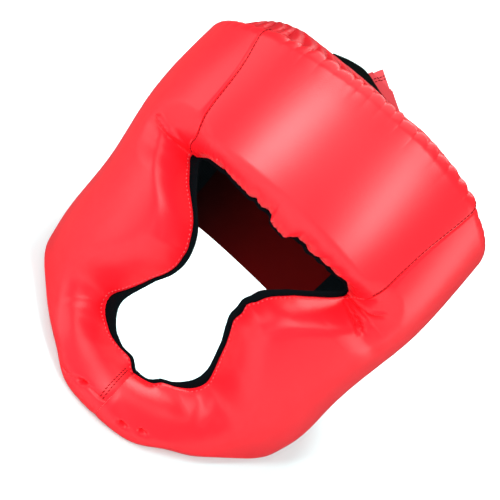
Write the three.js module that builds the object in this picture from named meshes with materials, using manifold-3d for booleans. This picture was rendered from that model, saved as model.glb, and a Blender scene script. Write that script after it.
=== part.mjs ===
// Kickboxing headgear: a padded head guard with a chin bar, in millimetres, +Z up.
// It is shaped upright, as worn (face towards -Y, chin at height 0), and then laid back on its lower rim.
import * as THREE from "three";
import { mergeVertices } from "three/addons/utils/BufferGeometryUtils.js";
import Module from "manifold-3d";

const wasm = await Module();
wasm.setup();

// Driving dimensions
const REST_PITCH = THREE.MathUtils.degToRad(24); // the lower rim's slope when worn
const CHIN_RIM_REACH = 84; // the chin's inner lower edge, ahead of the head's axis
const REST_FLATTENING = 3; // depth of soft rim that the floor flattens
const REST_SHIFT = -53.122; // brings the middle of the outline over the origin
const GAP = 0.35; // clearance between neighbouring pieces

const FOREHEAD = { browHeight: 157, crownHeight: 249, thickness: 28, browEdge: 0.34, crownEdge: 0.72 };
const FOREHEAD_GATHERS = { count: 12, depth: 1.3, reach: 12 };
const SEAM_EDGE = 0.955; // share of the padding that is left at a sewn seam
const EDGE_ROUND = { rim: 15, crown: 9, brow: 16, seam: 2 }; // how far each edge's rounding reaches
// Where the temple seam meets the eye slot: along the side pad, and how far it pulls the padding in
const EYE_CORNER = { at: 0.33, azimuth: 44.5, height: 151, dip: 0.5, reach: 24 };
const FULL_PADDING = 28; // thickness at which fullness and droop count in full
const DROOP_REACH = 22; // how far above the rim the droop fades out
const PAD_STEPS = { along: 40, across: 12, seam: 12, forehead: 48 }; // steps of the pads' meshes
const LINING_STEPS = { along: 20, seam: 6, forehead: 24 };
const LINING_ACROSS = [0, 2, 4, 5, 6, 7, 8, 10, 12]; // the pad's own steps that the lining keeps
const REAR_AZIMUTH = 148; // the side pads' rear edges, from straight ahead
const LINING = { gap: 0.6, thickness: 2.4, browLip: 3, rimInset: 7, rearInset: 1, crownInset: 2, rearRise: 11 };
const HEM = { outer: 17, inner: 1.5, outerRise: 1.6, waves: 44, waveHeight: 1.1, waveReach: 1 };
const BACK_PANEL = { lowHeight: 102.5, thickness: 8, edge: 0.75, edgeRound: 9 };
const LOOP_BAND = { halfSpan: 31, lowHeight: 222, thickness: 2.2 };
// The strap's free end is folded double; from there it slopes down to the side pad's rear edge, bent round at
// the bend's radius
const STRAP = { width: 22, length: 90, thickness: 2.2, fold: 11, bend: 113 };
const STRAP_END = { azimuth: 192.2, height: 262.7, slope: 25.5 };

// Inner face of the padding, one row per level above the chin; squareness is the exponent of the oval plan
const HEAD_LEVELS = [
  { height: 0, halfWidth: 67, front: 84, back: 100, squareness: 1.65 },
  { height: 40, halfWidth: 73, front: 85, back: 102, squareness: 1.8 },
  { height: 90, halfWidth: 79.5, front: 85, back: 106, squareness: 2.1 },
  { height: 135, halfWidth: 84.5, front: 85, back: 108, squareness: 2.3 },
  { height: 185, halfWidth: 90, front: 84, back: 108, squareness: 2.3 },
  { height: 225, halfWidth: 90, front: 78, back: 103, squareness: 2.3 },
  { height: 265, halfWidth: 84, front: 68, back: 95, squareness: 2.3 },
];

// Side pad, one row per section from the crown down the cheek to the chin: its edge on the face, its edge
// on the rim (rimRise is above the plane that the guard rests on), and the padding between them
const SIDE_SECTIONS = [
  { at: 0.0, faceAzimuth: 52, faceHeight: 237, rimAzimuth: 148, rimRise: 156, sag: -12, thickness: 26 },
  { at: 0.15, faceAzimuth: 44.5, faceHeight: 201, rimAzimuth: 148, rimRise: 119, sag: -4, thickness: 28 },
  { at: 0.28, faceAzimuth: 42, faceHeight: 165, rimAzimuth: 148, rimRise: 82, sag: 0, thickness: 29 },
  { at: 0.33, faceAzimuth: 44.5, faceHeight: 151, rimAzimuth: 148, rimRise: 67, sag: 0, thickness: 29 },
  { at: 0.4, faceAzimuth: 36, faceHeight: 135, rimAzimuth: 148, rimRise: 50, sag: 0, thickness: 29 },
  { at: 0.5, faceAzimuth: 22.5, faceHeight: 116, rimAzimuth: 147, rimRise: 26, sag: 0, thickness: 29 },
  { at: 0.59, faceAzimuth: 18.5, faceHeight: 99, rimAzimuth: 143, rimRise: 6, sag: 0, thickness: 29 },
  { at: 0.69, faceAzimuth: 23, faceHeight: 75, rimAzimuth: 124, rimRise: 0, sag: 0, thickness: 29 },
  { at: 0.79, faceAzimuth: 29.5, faceHeight: 51, rimAzimuth: 94, rimRise: 0, sag: 0, thickness: 28 },
  { at: 0.87, faceAzimuth: 21, faceHeight: 36, rimAzimuth: 60, rimRise: 0, sag: 0, thickness: 27 },
  { at: 0.94, faceAzimuth: 11, faceHeight: 32, rimAzimuth: 28, rimRise: 0, sag: 0, thickness: 27 },
  { at: 1.0, faceAzimuth: 0, faceHeight: 31, rimAzimuth: 0, rimRise: 0, sag: 0, thickness: 28 },
];

// Edges of the side pad along its length: the share of padding left at each, and how far the face's
// rounding reaches
const SIDE_EDGES = [
  { at: 0.0, face: 0.955, faceRound: 2, rim: 0.5 },
  { at: 0.22, face: 0.955, faceRound: 2, rim: 0.5 },
  { at: 0.27, face: 0.8, faceRound: 6, rim: 0.5 },
  { at: 0.33, face: 0.34, faceRound: 16, rim: 0.5 },
  { at: 0.4, face: 0.34, faceRound: 24, rim: 0.5 },
  { at: 0.5, face: 0.32, faceRound: 26, rim: 0.45 },
  { at: 0.59, face: 0.32, faceRound: 26, rim: 0.4 },
  { at: 0.69, face: 0.32, faceRound: 26, rim: 0.34 },
  { at: 0.79, face: 0.3, faceRound: 24, rim: 0.26 },
  { at: 0.87, face: 0.26, faceRound: 22, rim: 0.2 },
  { at: 0.94, face: 0.25, faceRound: 21, rim: 0.36 },
  { at: 1.0, face: 0.24, faceRound: 20, rim: 0.36 },
];

// Sewn edge of the face opening: how far the leather reaches past the section's end, and the lining past
// the leather
const SEWN_EDGES = [
  { at: 0.33, leftReach: 0, leftLip: 0, rightReach: 0, rightLip: 0 },
  { at: 0.345, leftReach: 0.5, leftLip: 4, rightReach: -4.5, rightLip: 7 },
  { at: 0.37, leftReach: 2.5, leftLip: 5, rightReach: -3, rightLip: 6 },
  { at: 0.4, leftReach: 4.5, leftLip: 5, rightReach: -2, rightLip: 5 },
  { at: 0.43, leftReach: 6.3, leftLip: 5, rightReach: -0.7, rightLip: 4.5 },
  { at: 0.46, leftReach: 5.8, leftLip: 5.5, rightReach: 0, rightLip: 4.5 },
  { at: 0.5, leftReach: 5.2, leftLip: 6.2, rightReach: -0.2, rightLip: 5.2 },
  { at: 0.53, leftReach: 4.3, leftLip: 5.7, rightReach: -0.2, rightLip: 5 },
  { at: 0.56, leftReach: 5.5, leftLip: 4.4, rightReach: 0.7, rightLip: 4 },
  { at: 0.59, leftReach: 3.6, leftLip: 5.2, rightReach: 1.2, rightLip: 3.7 },
  { at: 0.62, leftReach: 4.9, leftLip: 4.4, rightReach: 2.7, rightLip: 2.8 },
  { at: 0.65, leftReach: 3.4, leftLip: 4.8, rightReach: 3, rightLip: 2.5 },
  { at: 0.69, leftReach: 2.2, leftLip: 3.8, rightReach: 1.2, rightLip: 2.3 },
  { at: 0.75, leftReach: 3.2, leftLip: 4.2, rightReach: 0.2, rightLip: 4 },
  { at: 0.79, leftReach: 2.7, leftLip: 6.5, rightReach: -4, rightLip: 8 },
  { at: 0.83, leftReach: 2.5, leftLip: 6.5, rightReach: -6.5, rightLip: 10 },
  { at: 0.87, leftReach: 4.5, leftLip: 3.5, rightReach: -2.5, rightLip: 6 },
  { at: 0.89, leftReach: 5, leftLip: 2.5, rightReach: -1.5, rightLip: 5.5 },
  { at: 0.93, leftReach: 2, leftLip: 2, rightReach: -0.3, rightLip: 2.3 },
  { at: 0.97, leftReach: -4, leftLip: 2.2, rightReach: 0.7, rightLip: 1.8 },
  { at: 1.0, leftReach: -4.5, leftLip: 2.6, rightReach: -4.5, rightLip: 2.6 },
];

// Places where the stuffing is fuller or thinner than even
const FULLNESS = [
  { azimuth: -80, height: 110, extra: -3.2, reach: 32 },
  { azimuth: -80, height: 205, extra: -1.9, reach: 34 },
  { azimuth: -62, height: 30, extra: -4.1, reach: 24 },
  { azimuth: -45, height: 20, extra: -1.8, reach: 22 },
  { azimuth: -26, height: 12, extra: 1.1, reach: 20 },
  { azimuth: -5, height: 14, extra: 2.2, reach: 22 },
  { azimuth: 18, height: 14, extra: 2.2, reach: 22 },
  { azimuth: 60, height: 28, extra: -1.7, reach: 24 },
  { azimuth: 82, height: 60, extra: 4.4, reach: 28 },
  { azimuth: 80, height: 150, extra: 1.6, reach: 32 },
  { azimuth: 80, height: 205, extra: -1.8, reach: 34 },
];

// How far the padding hangs below the rim's own line round the chin
const RIM_DROOPS = [
  { azimuth: -70, drop: 0 },
  { azimuth: -50, drop: -1.1 },
  { azimuth: -36, drop: -1.1 },
  { azimuth: -24, drop: 1.1 },
  { azimuth: -12, drop: 8.4 },
  { azimuth: 0, drop: 8.4 },
  { azimuth: 12, drop: 8.4 },
  { azimuth: 24, drop: 1.9 },
  { azimuth: 36, drop: 1.3 },
  { azimuth: 50, drop: -0.8 },
  { azimuth: 70, drop: 0 },
];

// Uneven lower edge of the forehead pad
const BROW_EDGES = [
  { azimuth: -44, drop: 0 },
  { azimuth: -35, drop: -1.6 },
  { azimuth: -28, drop: -2.5 },
  { azimuth: -20, drop: 0 },
  { azimuth: -4, drop: 0.5 },
  { azimuth: -1, drop: 4 },
  { azimuth: 3, drop: 5.2 },
  { azimuth: 7, drop: 5 },
  { azimuth: 9.5, drop: 1 },
  { azimuth: 15, drop: -1 },
  { azimuth: 22, drop: -1 },
  { azimuth: 28, drop: -2.8 },
  { azimuth: 35, drop: -4 },
  { azimuth: 40, drop: -2 },
  { azimuth: 44, drop: 0 },
];
const BROW_EDGE_REACH = 0.18; // share of the forehead's height over which that fades

// Gathered hem over the crown, one row per place round the head
const HEM_RISES = [
  { azimuth: -148, rise: 7 },
  { azimuth: -120, rise: 7 },
  { azimuth: -80, rise: 8 },
  { azimuth: -66, rise: 9 },
  { azimuth: -50, rise: 11 },
  { azimuth: -38, rise: 11.5 },
  { azimuth: -28, rise: 9 },
  { azimuth: 0, rise: 5 },
  { azimuth: 28, rise: 8.5 },
  { azimuth: 40, rise: 11 },
  { azimuth: 50, rise: 13 },
  { azimuth: 62, rise: 12 },
  { azimuth: 80, rise: 9.5 },
  { azimuth: 120, rise: 7 },
  { azimuth: 148, rise: 7 },
];

// Top edge of the loop band
const LOOP_TOPS = [
  { azimuth: 149, height: 256 },
  { azimuth: 160, height: 258.5 },
  { azimuth: 182, height: 259 },
  { azimuth: 195, height: 263.5 },
  { azimuth: 203, height: 261.5 },
  { azimuth: 211, height: 257 },
];

// Main folds of the side pads, from one place to another; a negative depth is a ridge
const CREASES = [
  { fromAzimuth: -43, fromHeight: 147, toAzimuth: -56, toHeight: 153, depth: 2.4, width: 7 },
  { fromAzimuth: -30.5, fromHeight: 48, toAzimuth: -37, toHeight: 32, depth: 2.2, width: 6 },
  { fromAzimuth: -27, fromHeight: 34, toAzimuth: -20, toHeight: 24, depth: -1.2, width: 6 },
  { fromAzimuth: 43, fromHeight: 150, toAzimuth: 53, toHeight: 161, depth: 1.6, width: 7 },
  { fromAzimuth: 44, fromHeight: 147.5, toAzimuth: 56, toHeight: 139, depth: 2.4, width: 7 },
  { fromAzimuth: 51, fromHeight: 140.5, toAzimuth: 76, toHeight: 133.5, depth: 1.5, width: 8 },
  { fromAzimuth: 27.5, fromHeight: 44, toAzimuth: 28, toHeight: 27, depth: 2.6, width: 6 },
];

const RED_LEATHER = { color: 0xd8141f, roughness: 0.36, metalness: 0 };
const BLACK_FABRIC = { color: 0x0d1113, roughness: 0.85, metalness: 0 };

const { lerp, clamp, degToRad } = THREE.MathUtils;

// A column of a table, read between its rows along a smooth curve
function readTable(rows, key, column, at) {
  const last = rows.length - 1;
  if (at <= rows[0][key]) return rows[0][column];
  if (at >= rows[last][key]) return rows[last][column];
  const below = rows.findIndex((row, k) => at < rows[k + 1][key]);
  const slope = (k) => {
    const before = rows[Math.max(k - 1, 0)];
    const after = rows[Math.min(k + 1, last)];
    return (after[column] - before[column]) / (after[key] - before[key]);
  };
  const span = rows[below + 1][key] - rows[below][key];
  const t = (at - rows[below][key]) / span;
  const start = rows[below][column] * (1 + 2 * t) + slope(below) * span * t;
  const end = rows[below + 1][column] * (3 - 2 * t) - slope(below + 1) * span * (1 - t);
  return start * (1 - t) ** 2 + end * t ** 2;
}

// A point of the padding's inner face; azimuth is in degrees from straight ahead, positive towards +X
function innerPoint(azimuth, height) {
  const sine = Math.sin(degToRad(azimuth));
  const cosine = Math.cos(degToRad(azimuth));
  const level = (column) => readTable(HEAD_LEVELS, "height", column, height);
  const across = Math.abs(sine) / level("halfWidth");
  const along = Math.abs(cosine) / (cosine > 0 ? level("front") : level("back"));
  const squareness = level("squareness");
  const reach = (across ** squareness + along ** squareness) ** (-1 / squareness);
  return new THREE.Vector3(reach * sine, -reach * cosine, height);
}

// The same point moved outwards, square to the inner face
function shellPoint(azimuth, height, offset) {
  const step = 0.5;
  const around = innerPoint(azimuth + step, height).sub(innerPoint(azimuth - step, height));
  const upwards = innerPoint(azimuth, height + step).sub(innerPoint(azimuth, height - step));
  return innerPoint(azimuth, height).addScaledVector(around.cross(upwards).normalize(), offset);
}

// Degrees of azimuth that a short distance takes up
function azimuthOf(distance, azimuth, height) {
  return THREE.MathUtils.radToDeg(distance / Math.hypot(...innerPoint(azimuth, height).setZ(0)));
}

// Height of the inclined plane that becomes the floor, where it meets the inner face
function restHeight(azimuth) {
  let height = 0;
  for (let pass = 0; pass < 8; pass += 1) {
    height = (innerPoint(azimuth, height).y + CHIN_RIM_REACH) * Math.tan(REST_PITCH);
  }
  return height;
}

// Share of the full thickness at a distance from a rounded edge
function edgeShare(distance, edge, round) {
  const t = clamp(distance / round, 0, 1);
  return edge + (1 - edge) * Math.sqrt(1 - (1 - t) ** 2);
}

// Share of the full thickness at a distance from a soft edge, which swells without a shoulder
function softShare(distance, edge, round) {
  return 1 - (1 - edge) * (1 - clamp(distance / round, 0, 1)) ** 2.4;
}

// The corner of the eye slot pulls the padding in
function cornerShare(azimuth, height) {
  const corner = innerPoint(EYE_CORNER.azimuth, EYE_CORNER.height);
  const distance = innerPoint(Math.abs(azimuth), height).distanceTo(corner);
  return 1 - EYE_CORNER.dip * (1 - THREE.MathUtils.smoothstep(distance, 0, EYE_CORNER.reach));
}

// Evenly counted steps that crowd towards both ends
function crowded(step, steps) {
  const t = step / steps;
  return t - (0.82 * Math.sin(2 * Math.PI * t)) / (2 * Math.PI);
}

// One closed solid between a grid of outer points and a grid of inner points
function wallSolid(rows) {
  const lengthwise = rows.length - 1;
  const crosswise = rows[0].outer.length - 1;
  const points = [...rows.flatMap((row) => row.outer), ...rows.flatMap((row) => row.inner)];
  const outer = (i, j) => i * (crosswise + 1) + j;
  const inner = (i, j) => points.length / 2 + outer(i, j);
  const triangles = [];
  const quad = (a, b, c, d) => triangles.push([a, b, c], [a, c, d]);
  for (let i = 0; i < lengthwise; i += 1) {
    for (let j = 0; j < crosswise; j += 1) {
      quad(outer(i, j), outer(i, j + 1), outer(i + 1, j + 1), outer(i + 1, j));
      quad(inner(i, j), inner(i + 1, j), inner(i + 1, j + 1), inner(i, j + 1));
    }
    quad(outer(i, 0), outer(i + 1, 0), inner(i + 1, 0), inner(i, 0));
    quad(outer(i + 1, crosswise), outer(i, crosswise), inner(i, crosswise), inner(i + 1, crosswise));
  }
  for (let j = 0; j < crosswise; j += 1) {
    quad(outer(0, j + 1), outer(0, j), inner(0, j), inner(0, j + 1));
    quad(outer(lengthwise, j), outer(lengthwise, j + 1), inner(lengthwise, j + 1), inner(lengthwise, j));
  }
  const wedge = ([a, b, c]) => points[a].dot(points[b].clone().cross(points[c]));
  const volume = triangles.reduce((sum, triangle) => sum + wedge(triangle), 0);
  const facingOut = volume > 0 ? triangles : triangles.map(([a, b, c]) => [a, c, b]);
  return new THREE.BufferGeometry().setFromPoints(points).setIndex(facingOut.flat());
}

// Rows of a wall solid from a function of two whole steps that gives { outer, inner }
function wallRows(lengthwise, crosswise, pointsAt) {
  const rows = [];
  for (let i = 0; i <= lengthwise; i += 1) {
    const row = { outer: [], inner: [] };
    for (let j = 0; j <= crosswise; j += 1) {
      const { outer, inner } = pointsAt(i, j);
      row.outer.push(outer);
      row.inner.push(inner);
    }
    rows.push(row);
  }
  return rows;
}

// Side pad: where a spot of its grid lies on the inner face
function sideSpot(along, across) {
  const column = (name) => readTable(SIDE_SECTIONS, "at", name, along);
  const rimAzimuth = column("rimAzimuth");
  const rimHeight = restHeight(rimAzimuth) + column("rimRise");
  const azimuth = lerp(column("faceAzimuth"), rimAzimuth, across);
  const height = lerp(column("faceHeight"), rimHeight, across) + column("sag") * 4 * across * (1 - across);
  return { azimuth, height };
}

function sidePoint(along, across, offset) {
  const { azimuth, height } = sideSpot(along, across);
  return shellPoint(azimuth, height, offset);
}

function sectionLength(along) {
  const steps = 8;
  let length = 0;
  for (let k = 0; k < steps; k += 1) {
    length += sidePoint(along, k / steps, 0).distanceTo(sidePoint(along, (k + 1) / steps, 0));
  }
  return length;
}

// Sizes of the sewn edge on one side; beside the forehead there is none
function sewnEdge(along, side, name) {
  if (along < EYE_CORNER.at) return 0;
  return readTable(SEWN_EDGES, "at", (side > 0 ? "left" : "right") + name, along);
}

// The spot of the grid once the leather's sewn edge is drawn forward or back
function sewnAcross(along, across, length, side) {
  return across - (sewnEdge(along, side, "Reach") / length) * (1 - across) ** 4;
}

function creaseDepth(azimuth, height) {
  const spot = innerPoint(azimuth, height);
  let depth = 0;
  for (const crease of CREASES) {
    const start = innerPoint(crease.fromAzimuth, crease.fromHeight);
    const line = new THREE.Line3(start, innerPoint(crease.toAzimuth, crease.toHeight));
    const nearest = line.closestPointToPointParameter(spot, true);
    const distance = line.at(nearest, new THREE.Vector3()).distanceTo(spot);
    depth += crease.depth * (1 - 0.85 * nearest ** 1.5) * Math.exp(-((distance / crease.width) ** 2));
  }
  return depth;
}

function fullness(azimuth, height) {
  const spot = innerPoint(azimuth, height);
  let extra = 0;
  for (const place of FULLNESS) {
    const distance = innerPoint(place.azimuth, place.height).distanceTo(spot);
    extra += place.extra * Math.exp(-((distance / place.reach) ** 2));
  }
  return extra;
}

// Even padding of the side pad, before fullness and folds
function sidePadding(along, across, length) {
  const edge = (name) => readTable(SIDE_EDGES, "at", name, along);
  const spot = sidePoint(along, across, 0);
  const { azimuth, height } = sideSpot(along, across);
  const toCorner = sidePoint(along, 0, 0).distanceTo(sidePoint(EYE_CORNER.at, 0, 0));
  const seamShare = SEAM_EDGE * edgeShare(toCorner, FOREHEAD.browEdge, EDGE_ROUND.brow);
  const faceEdge = along < EYE_CORNER.at ? seamShare : edge("face");
  const fromFace = softShare(across * length, faceEdge, edge("faceRound"));
  const fromRim = edgeShare((1 - across) * length, edge("rim"), EDGE_ROUND.rim);
  const fromCrown = edgeShare(spot.distanceTo(sidePoint(0, across, 0)), FOREHEAD.crownEdge, EDGE_ROUND.crown);
  const fromChin = edgeShare(spot.distanceTo(sidePoint(1, across, 0)), SEAM_EDGE, EDGE_ROUND.seam);
  const full = readTable(SIDE_SECTIONS, "at", "thickness", along);
  return full * fromFace * fromRim * fromCrown * fromChin * cornerShare(azimuth, height);
}

// A spot of one side pad: its place on the inner face, its thickness there, and how far it hangs below
function sidePadSpot(along, across, side) {
  const length = sectionLength(along);
  const { azimuth, height } = sideSpot(along, sewnAcross(along, across, length, side));
  const even = sidePadding(along, across, length);
  const extra = fullness(side * azimuth, height) * Math.min(even / FULL_PADDING, 1);
  const crease = creaseDepth(side * azimuth, height) * Math.min((2 * even) / FULL_PADDING, 1);
  const thickness = Math.max(even + extra - crease, 2);
  const nearRim = along > 0.5 ? Math.exp(-((((1 - across) * length) / DROOP_REACH) ** 2)) : 0;
  const droop = readTable(RIM_DROOPS, "azimuth", "drop", side * azimuth) * nearRim;
  return { azimuth, height, thickness, droop: (droop * thickness) / FULL_PADDING };
}

const mirror = (point, side) => point.setX(side * (point.x + GAP / 2));

// Rows of the side pieces: beside the forehead they match its own rows, below it they crowd a little towards
// the eye corner and the chin
function alongAtRow(row, steps) {
  if (row <= steps.seam) return EYE_CORNER.at * (1 - crowded(steps.seam - row, steps.seam));
  const t = (row - steps.seam) / (steps.along - steps.seam);
  return lerp(EYE_CORNER.at, 1, t - (0.4 * Math.sin(2 * Math.PI * t)) / (2 * Math.PI));
}

function sidePad(side) {
  const rows = wallRows(PAD_STEPS.along, PAD_STEPS.across, (i, j) => {
    const along = alongAtRow(i, PAD_STEPS);
    const across = crowded(j, PAD_STEPS.across);
    const { azimuth, height, thickness, droop } = sidePadSpot(along, across, side);
    const outer = shellPoint(azimuth, height, thickness);
    return {
      outer: mirror(outer.setZ(outer.z - droop), side),
      inner: mirror(shellPoint(azimuth, height, 0), side),
    };
  });
  return flattenAtRest(wallSolid(rows));
}

function sideLining(side) {
  const last = LINING_ACROSS.length - 1;
  const rows = wallRows(LINING_STEPS.along, last, (i, j) => {
    const along = Math.max(alongAtRow(i, LINING_STEPS), LINING.crownInset / 270);
    const length = sectionLength(along);
    const low = clamp((along - 0.5) / 0.12, 0, 1);
    const end = 1 - lerp(LINING.rearInset, LINING.rimInset, low) / length;
    const even = Math.min(crowded(LINING_ACROSS[j], PAD_STEPS.across), end - 0.02 * (last - j));
    let across = sewnAcross(along, even, length, side);
    if (j === 0) across = -(sewnEdge(along, side, "Reach") + sewnEdge(along, side, "Lip")) / length;
    const { azimuth, height } = sideSpot(along, across);
    const behind = clamp((azimuth - 95) / 30, 0, 1);
    const raised = height + LINING.rearRise * behind * clamp(1 - along / 0.05, 0, 1);
    return {
      outer: mirror(shellPoint(azimuth, raised, -LINING.gap), side),
      inner: mirror(shellPoint(azimuth, raised, -LINING.gap - LINING.thickness), side),
    };
  });
  return wallSolid(rows);
}

// Forehead pad: across runs from seam to seam (-1 to 1), up from the brow to the crown (0 to 1)
function foreheadSpot(across, up) {
  const seam = sideSpot(EYE_CORNER.at * (1 - up), 0);
  const middle = lerp(FOREHEAD.browHeight, FOREHEAD.crownHeight, up);
  return { azimuth: across * seam.azimuth, height: lerp(middle, seam.height, across ** 2) };
}

function foreheadPoint(across, up, offset) {
  const { azimuth, height } = foreheadSpot(across, up);
  return shellPoint(azimuth, height, offset);
}

function foreheadThickness(across, up) {
  const spot = foreheadPoint(across, up, 0);
  const { azimuth, height } = foreheadSpot(across, up);
  const brow = spot.distanceTo(foreheadPoint(across, 0, 0));
  const crown = spot.distanceTo(foreheadPoint(across, 1, 0));
  const seam = spot.distanceTo(foreheadPoint(Math.sign(across) || 1, up, 0));
  const share =
    edgeShare(brow, FOREHEAD.browEdge, EDGE_ROUND.brow) *
    edgeShare(crown, FOREHEAD.crownEdge, EDGE_ROUND.crown) *
    edgeShare(seam, SEAM_EDGE, EDGE_ROUND.seam) *
    cornerShare(azimuth, height);
  const wave = 0.5 - 0.5 * Math.cos(2 * Math.PI * FOREHEAD_GATHERS.count * (across + 1));
  const pucker = wave * FOREHEAD_GATHERS.depth * Math.exp(-((crown / FOREHEAD_GATHERS.reach) ** 2));
  return FOREHEAD.thickness * share - pucker;
}

// A point of the forehead with the brow's uneven edge
function browPoint(across, up, offset) {
  const { azimuth, height } = foreheadSpot(across, up);
  const fade = clamp(1 - up / BROW_EDGE_REACH, 0, 1) ** 2;
  return shellPoint(azimuth, height - readTable(BROW_EDGES, "azimuth", "drop", azimuth) * fade, offset);
}

function foreheadPad() {
  const inset = 1 - GAP / 90;
  const rows = wallRows(PAD_STEPS.forehead, PAD_STEPS.seam, (i, j) => {
    const across = lerp(-inset, inset, i / PAD_STEPS.forehead);
    const up = crowded(j, PAD_STEPS.seam);
    return {
      outer: browPoint(across, up, foreheadThickness(across, up)),
      inner: browPoint(across, up, 0),
    };
  });
  return wallSolid(rows);
}

function foreheadLining() {
  const inset = 1 - GAP / 90;
  const tall = FOREHEAD.crownHeight - FOREHEAD.browHeight;
  const rows = wallRows(LINING_STEPS.forehead, LINING_STEPS.seam, (i, j) => {
    const across = lerp(-inset, inset, i / LINING_STEPS.forehead);
    let up = Math.min(crowded(j, LINING_STEPS.seam), 1 - LINING.crownInset / tall);
    if (j === 0) up = (-LINING.browLip * (1 - across ** 8)) / tall;
    return {
      outer: browPoint(across, up, -LINING.gap),
      inner: browPoint(across, up, -LINING.gap - LINING.thickness),
    };
  });
  return wallSolid(rows);
}

// Crown edge of the pads, all the way round from one rear edge to the other
function crownSpot(azimuth) {
  const turn = Math.abs(azimuth);
  const seam = sideSpot(0, 0).azimuth;
  const spot = turn < seam ? foreheadSpot(turn / seam, 1) : sideSpot(0, (turn - seam) / (REAR_AZIMUTH - seam));
  return { azimuth: Math.sign(azimuth) * spot.azimuth, height: spot.height };
}

// Gathered hem that covers the tops of the pads and stands up at the inner edge
function crownHem() {
  const lengthwise = HEM.waves * 3;
  const crosswise = 2;
  const rows = wallRows(lengthwise, crosswise, (i, j) => {
    const inwards = j / crosswise;
    const { azimuth, height } = crownSpot(lerp(-REAR_AZIMUTH, REAR_AZIMUTH, i / lengthwise));
    const wave = Math.sin((2 * Math.PI * HEM.waves * i) / lengthwise);
    const offset = lerp(HEM.outer, HEM.inner, inwards) + HEM.waveReach * wave * inwards * (1 - inwards) * 4;
    const innerRise = readTable(HEM_RISES, "azimuth", "rise", azimuth);
    const rise = lerp(HEM.outerRise, innerRise, inwards) + HEM.waveHeight * wave * lerp(0.4, 1, inwards);
    return {
      outer: shellPoint(azimuth, height + GAP + rise, offset),
      inner: shellPoint(azimuth, height + GAP, offset),
    };
  });
  return wallSolid(rows);
}

// Thin padded panel that closes the back between the side pads
function backPanel() {
  const lengthwise = 16;
  const crosswise = 8;
  const topHeight = crownSpot(REAR_AZIMUTH).height;
  const start = REAR_AZIMUTH + azimuthOf(GAP, REAR_AZIMUTH, topHeight);
  const rows = wallRows(lengthwise, crosswise, (i, j) => {
    const azimuth = lerp(start, 360 - start, crowded(i, lengthwise));
    const height = lerp(BACK_PANEL.lowHeight, topHeight, crowded(j, crosswise));
    const fromEnds = Math.min(azimuth - start, 360 - start - azimuth) / azimuthOf(1, azimuth, height);
    const fromEdges = Math.min(height - BACK_PANEL.lowHeight, topHeight - height);
    const share = edgeShare(Math.min(fromEnds, fromEdges), BACK_PANEL.edge, BACK_PANEL.edgeRound);
    return {
      outer: shellPoint(azimuth, height, BACK_PANEL.thickness * share),
      inner: shellPoint(azimuth, height, 0),
    };
  });
  return wallSolid(rows);
}

// Loop band sewn inside the top of the back panel
function loopBand() {
  const lengthwise = 16;
  const crosswise = 4;
  const rows = wallRows(lengthwise, crosswise, (i, j) => {
    const azimuth = 180 + lerp(-1, 1, i / lengthwise) * LOOP_BAND.halfSpan;
    const top = readTable(LOOP_TOPS, "azimuth", "height", azimuth);
    const height = lerp(LOOP_BAND.lowHeight, top, j / crosswise);
    return {
      outer: shellPoint(azimuth, height, -GAP),
      inner: shellPoint(azimuth, height, -GAP - LOOP_BAND.thickness),
    };
  });
  return wallSolid(rows);
}

// Closing strap, sewn to the back panel at one end and lifted past the top edge at the other
function crownStrap() {
  const lengthwise = 14;
  const crosswise = 3;
  const below = BACK_PANEL.thickness + GAP;
  const slope = degToRad(STRAP_END.slope);
  const rows = wallRows(lengthwise, crosswise, (i, j) => {
    const back = STRAP.length * (1 - i / lengthwise);
    const aside = STRAP.width * (j / crosswise - 0.5);
    const sideways = back * Math.cos(slope) + aside * Math.sin(slope);
    const height = STRAP_END.height - back * Math.sin(slope) + aside * Math.cos(slope);
    const azimuth = STRAP_END.azimuth - THREE.MathUtils.radToDeg(sideways / STRAP.bend);
    const layers = back < STRAP.fold ? 1.7 : 1;
    return {
      outer: shellPoint(azimuth, height, below + STRAP.thickness * layers),
      inner: shellPoint(azimuth, height, below),
    };
  });
  return wallSolid(rows);
}

// Placement of the worn guard at rest: leaned back until its lower rim lies on the floor
const worn = new THREE.Group();
worn.rotation.x = -REST_PITCH;
worn.position.y = REST_SHIFT;
worn.position.z = -(CHIN_RIM_REACH * Math.sin(REST_PITCH) + REST_FLATTENING * Math.cos(REST_PITCH));
worn.updateMatrix();

function toManifold(geometry) {
  const bare = new THREE.BufferGeometry();
  bare.setAttribute("position", geometry.getAttribute("position"));
  bare.setIndex(geometry.index);
  const merged = mergeVertices(bare, 1e-4);
  const vertProperties = new Float32Array(merged.attributes.position.array);
  const triVerts = new Uint32Array(merged.index.array);
  return new wasm.Manifold(new wasm.Mesh({ numProp: 3, vertProperties, triVerts }));
}

function toGeometry(solid) {
  const { vertProperties, triVerts } = solid.getMesh();
  const geometry = new THREE.BufferGeometry();
  geometry.setAttribute("position", new THREE.BufferAttribute(vertProperties, 3));
  return geometry.setIndex(new THREE.BufferAttribute(triVerts, 1));
}

// Cuts away what the floor flattens, so that the rim has a flat face to rest on
function flattenAtRest(geometry) {
  const size = 600;
  const floor = new THREE.BoxGeometry(size, size, size).translate(0, 0, -size / 2);
  floor.applyMatrix4(worn.matrix.clone().invert());
  return toGeometry(toManifold(geometry).subtract(toManifold(floor)));
}

function addPiece(name, geometry, finish) {
  geometry.computeVertexNormals();
  const piece = new THREE.Mesh(geometry, new THREE.MeshStandardMaterial(finish));
  piece.name = name;
  worn.add(piece);
}

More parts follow.
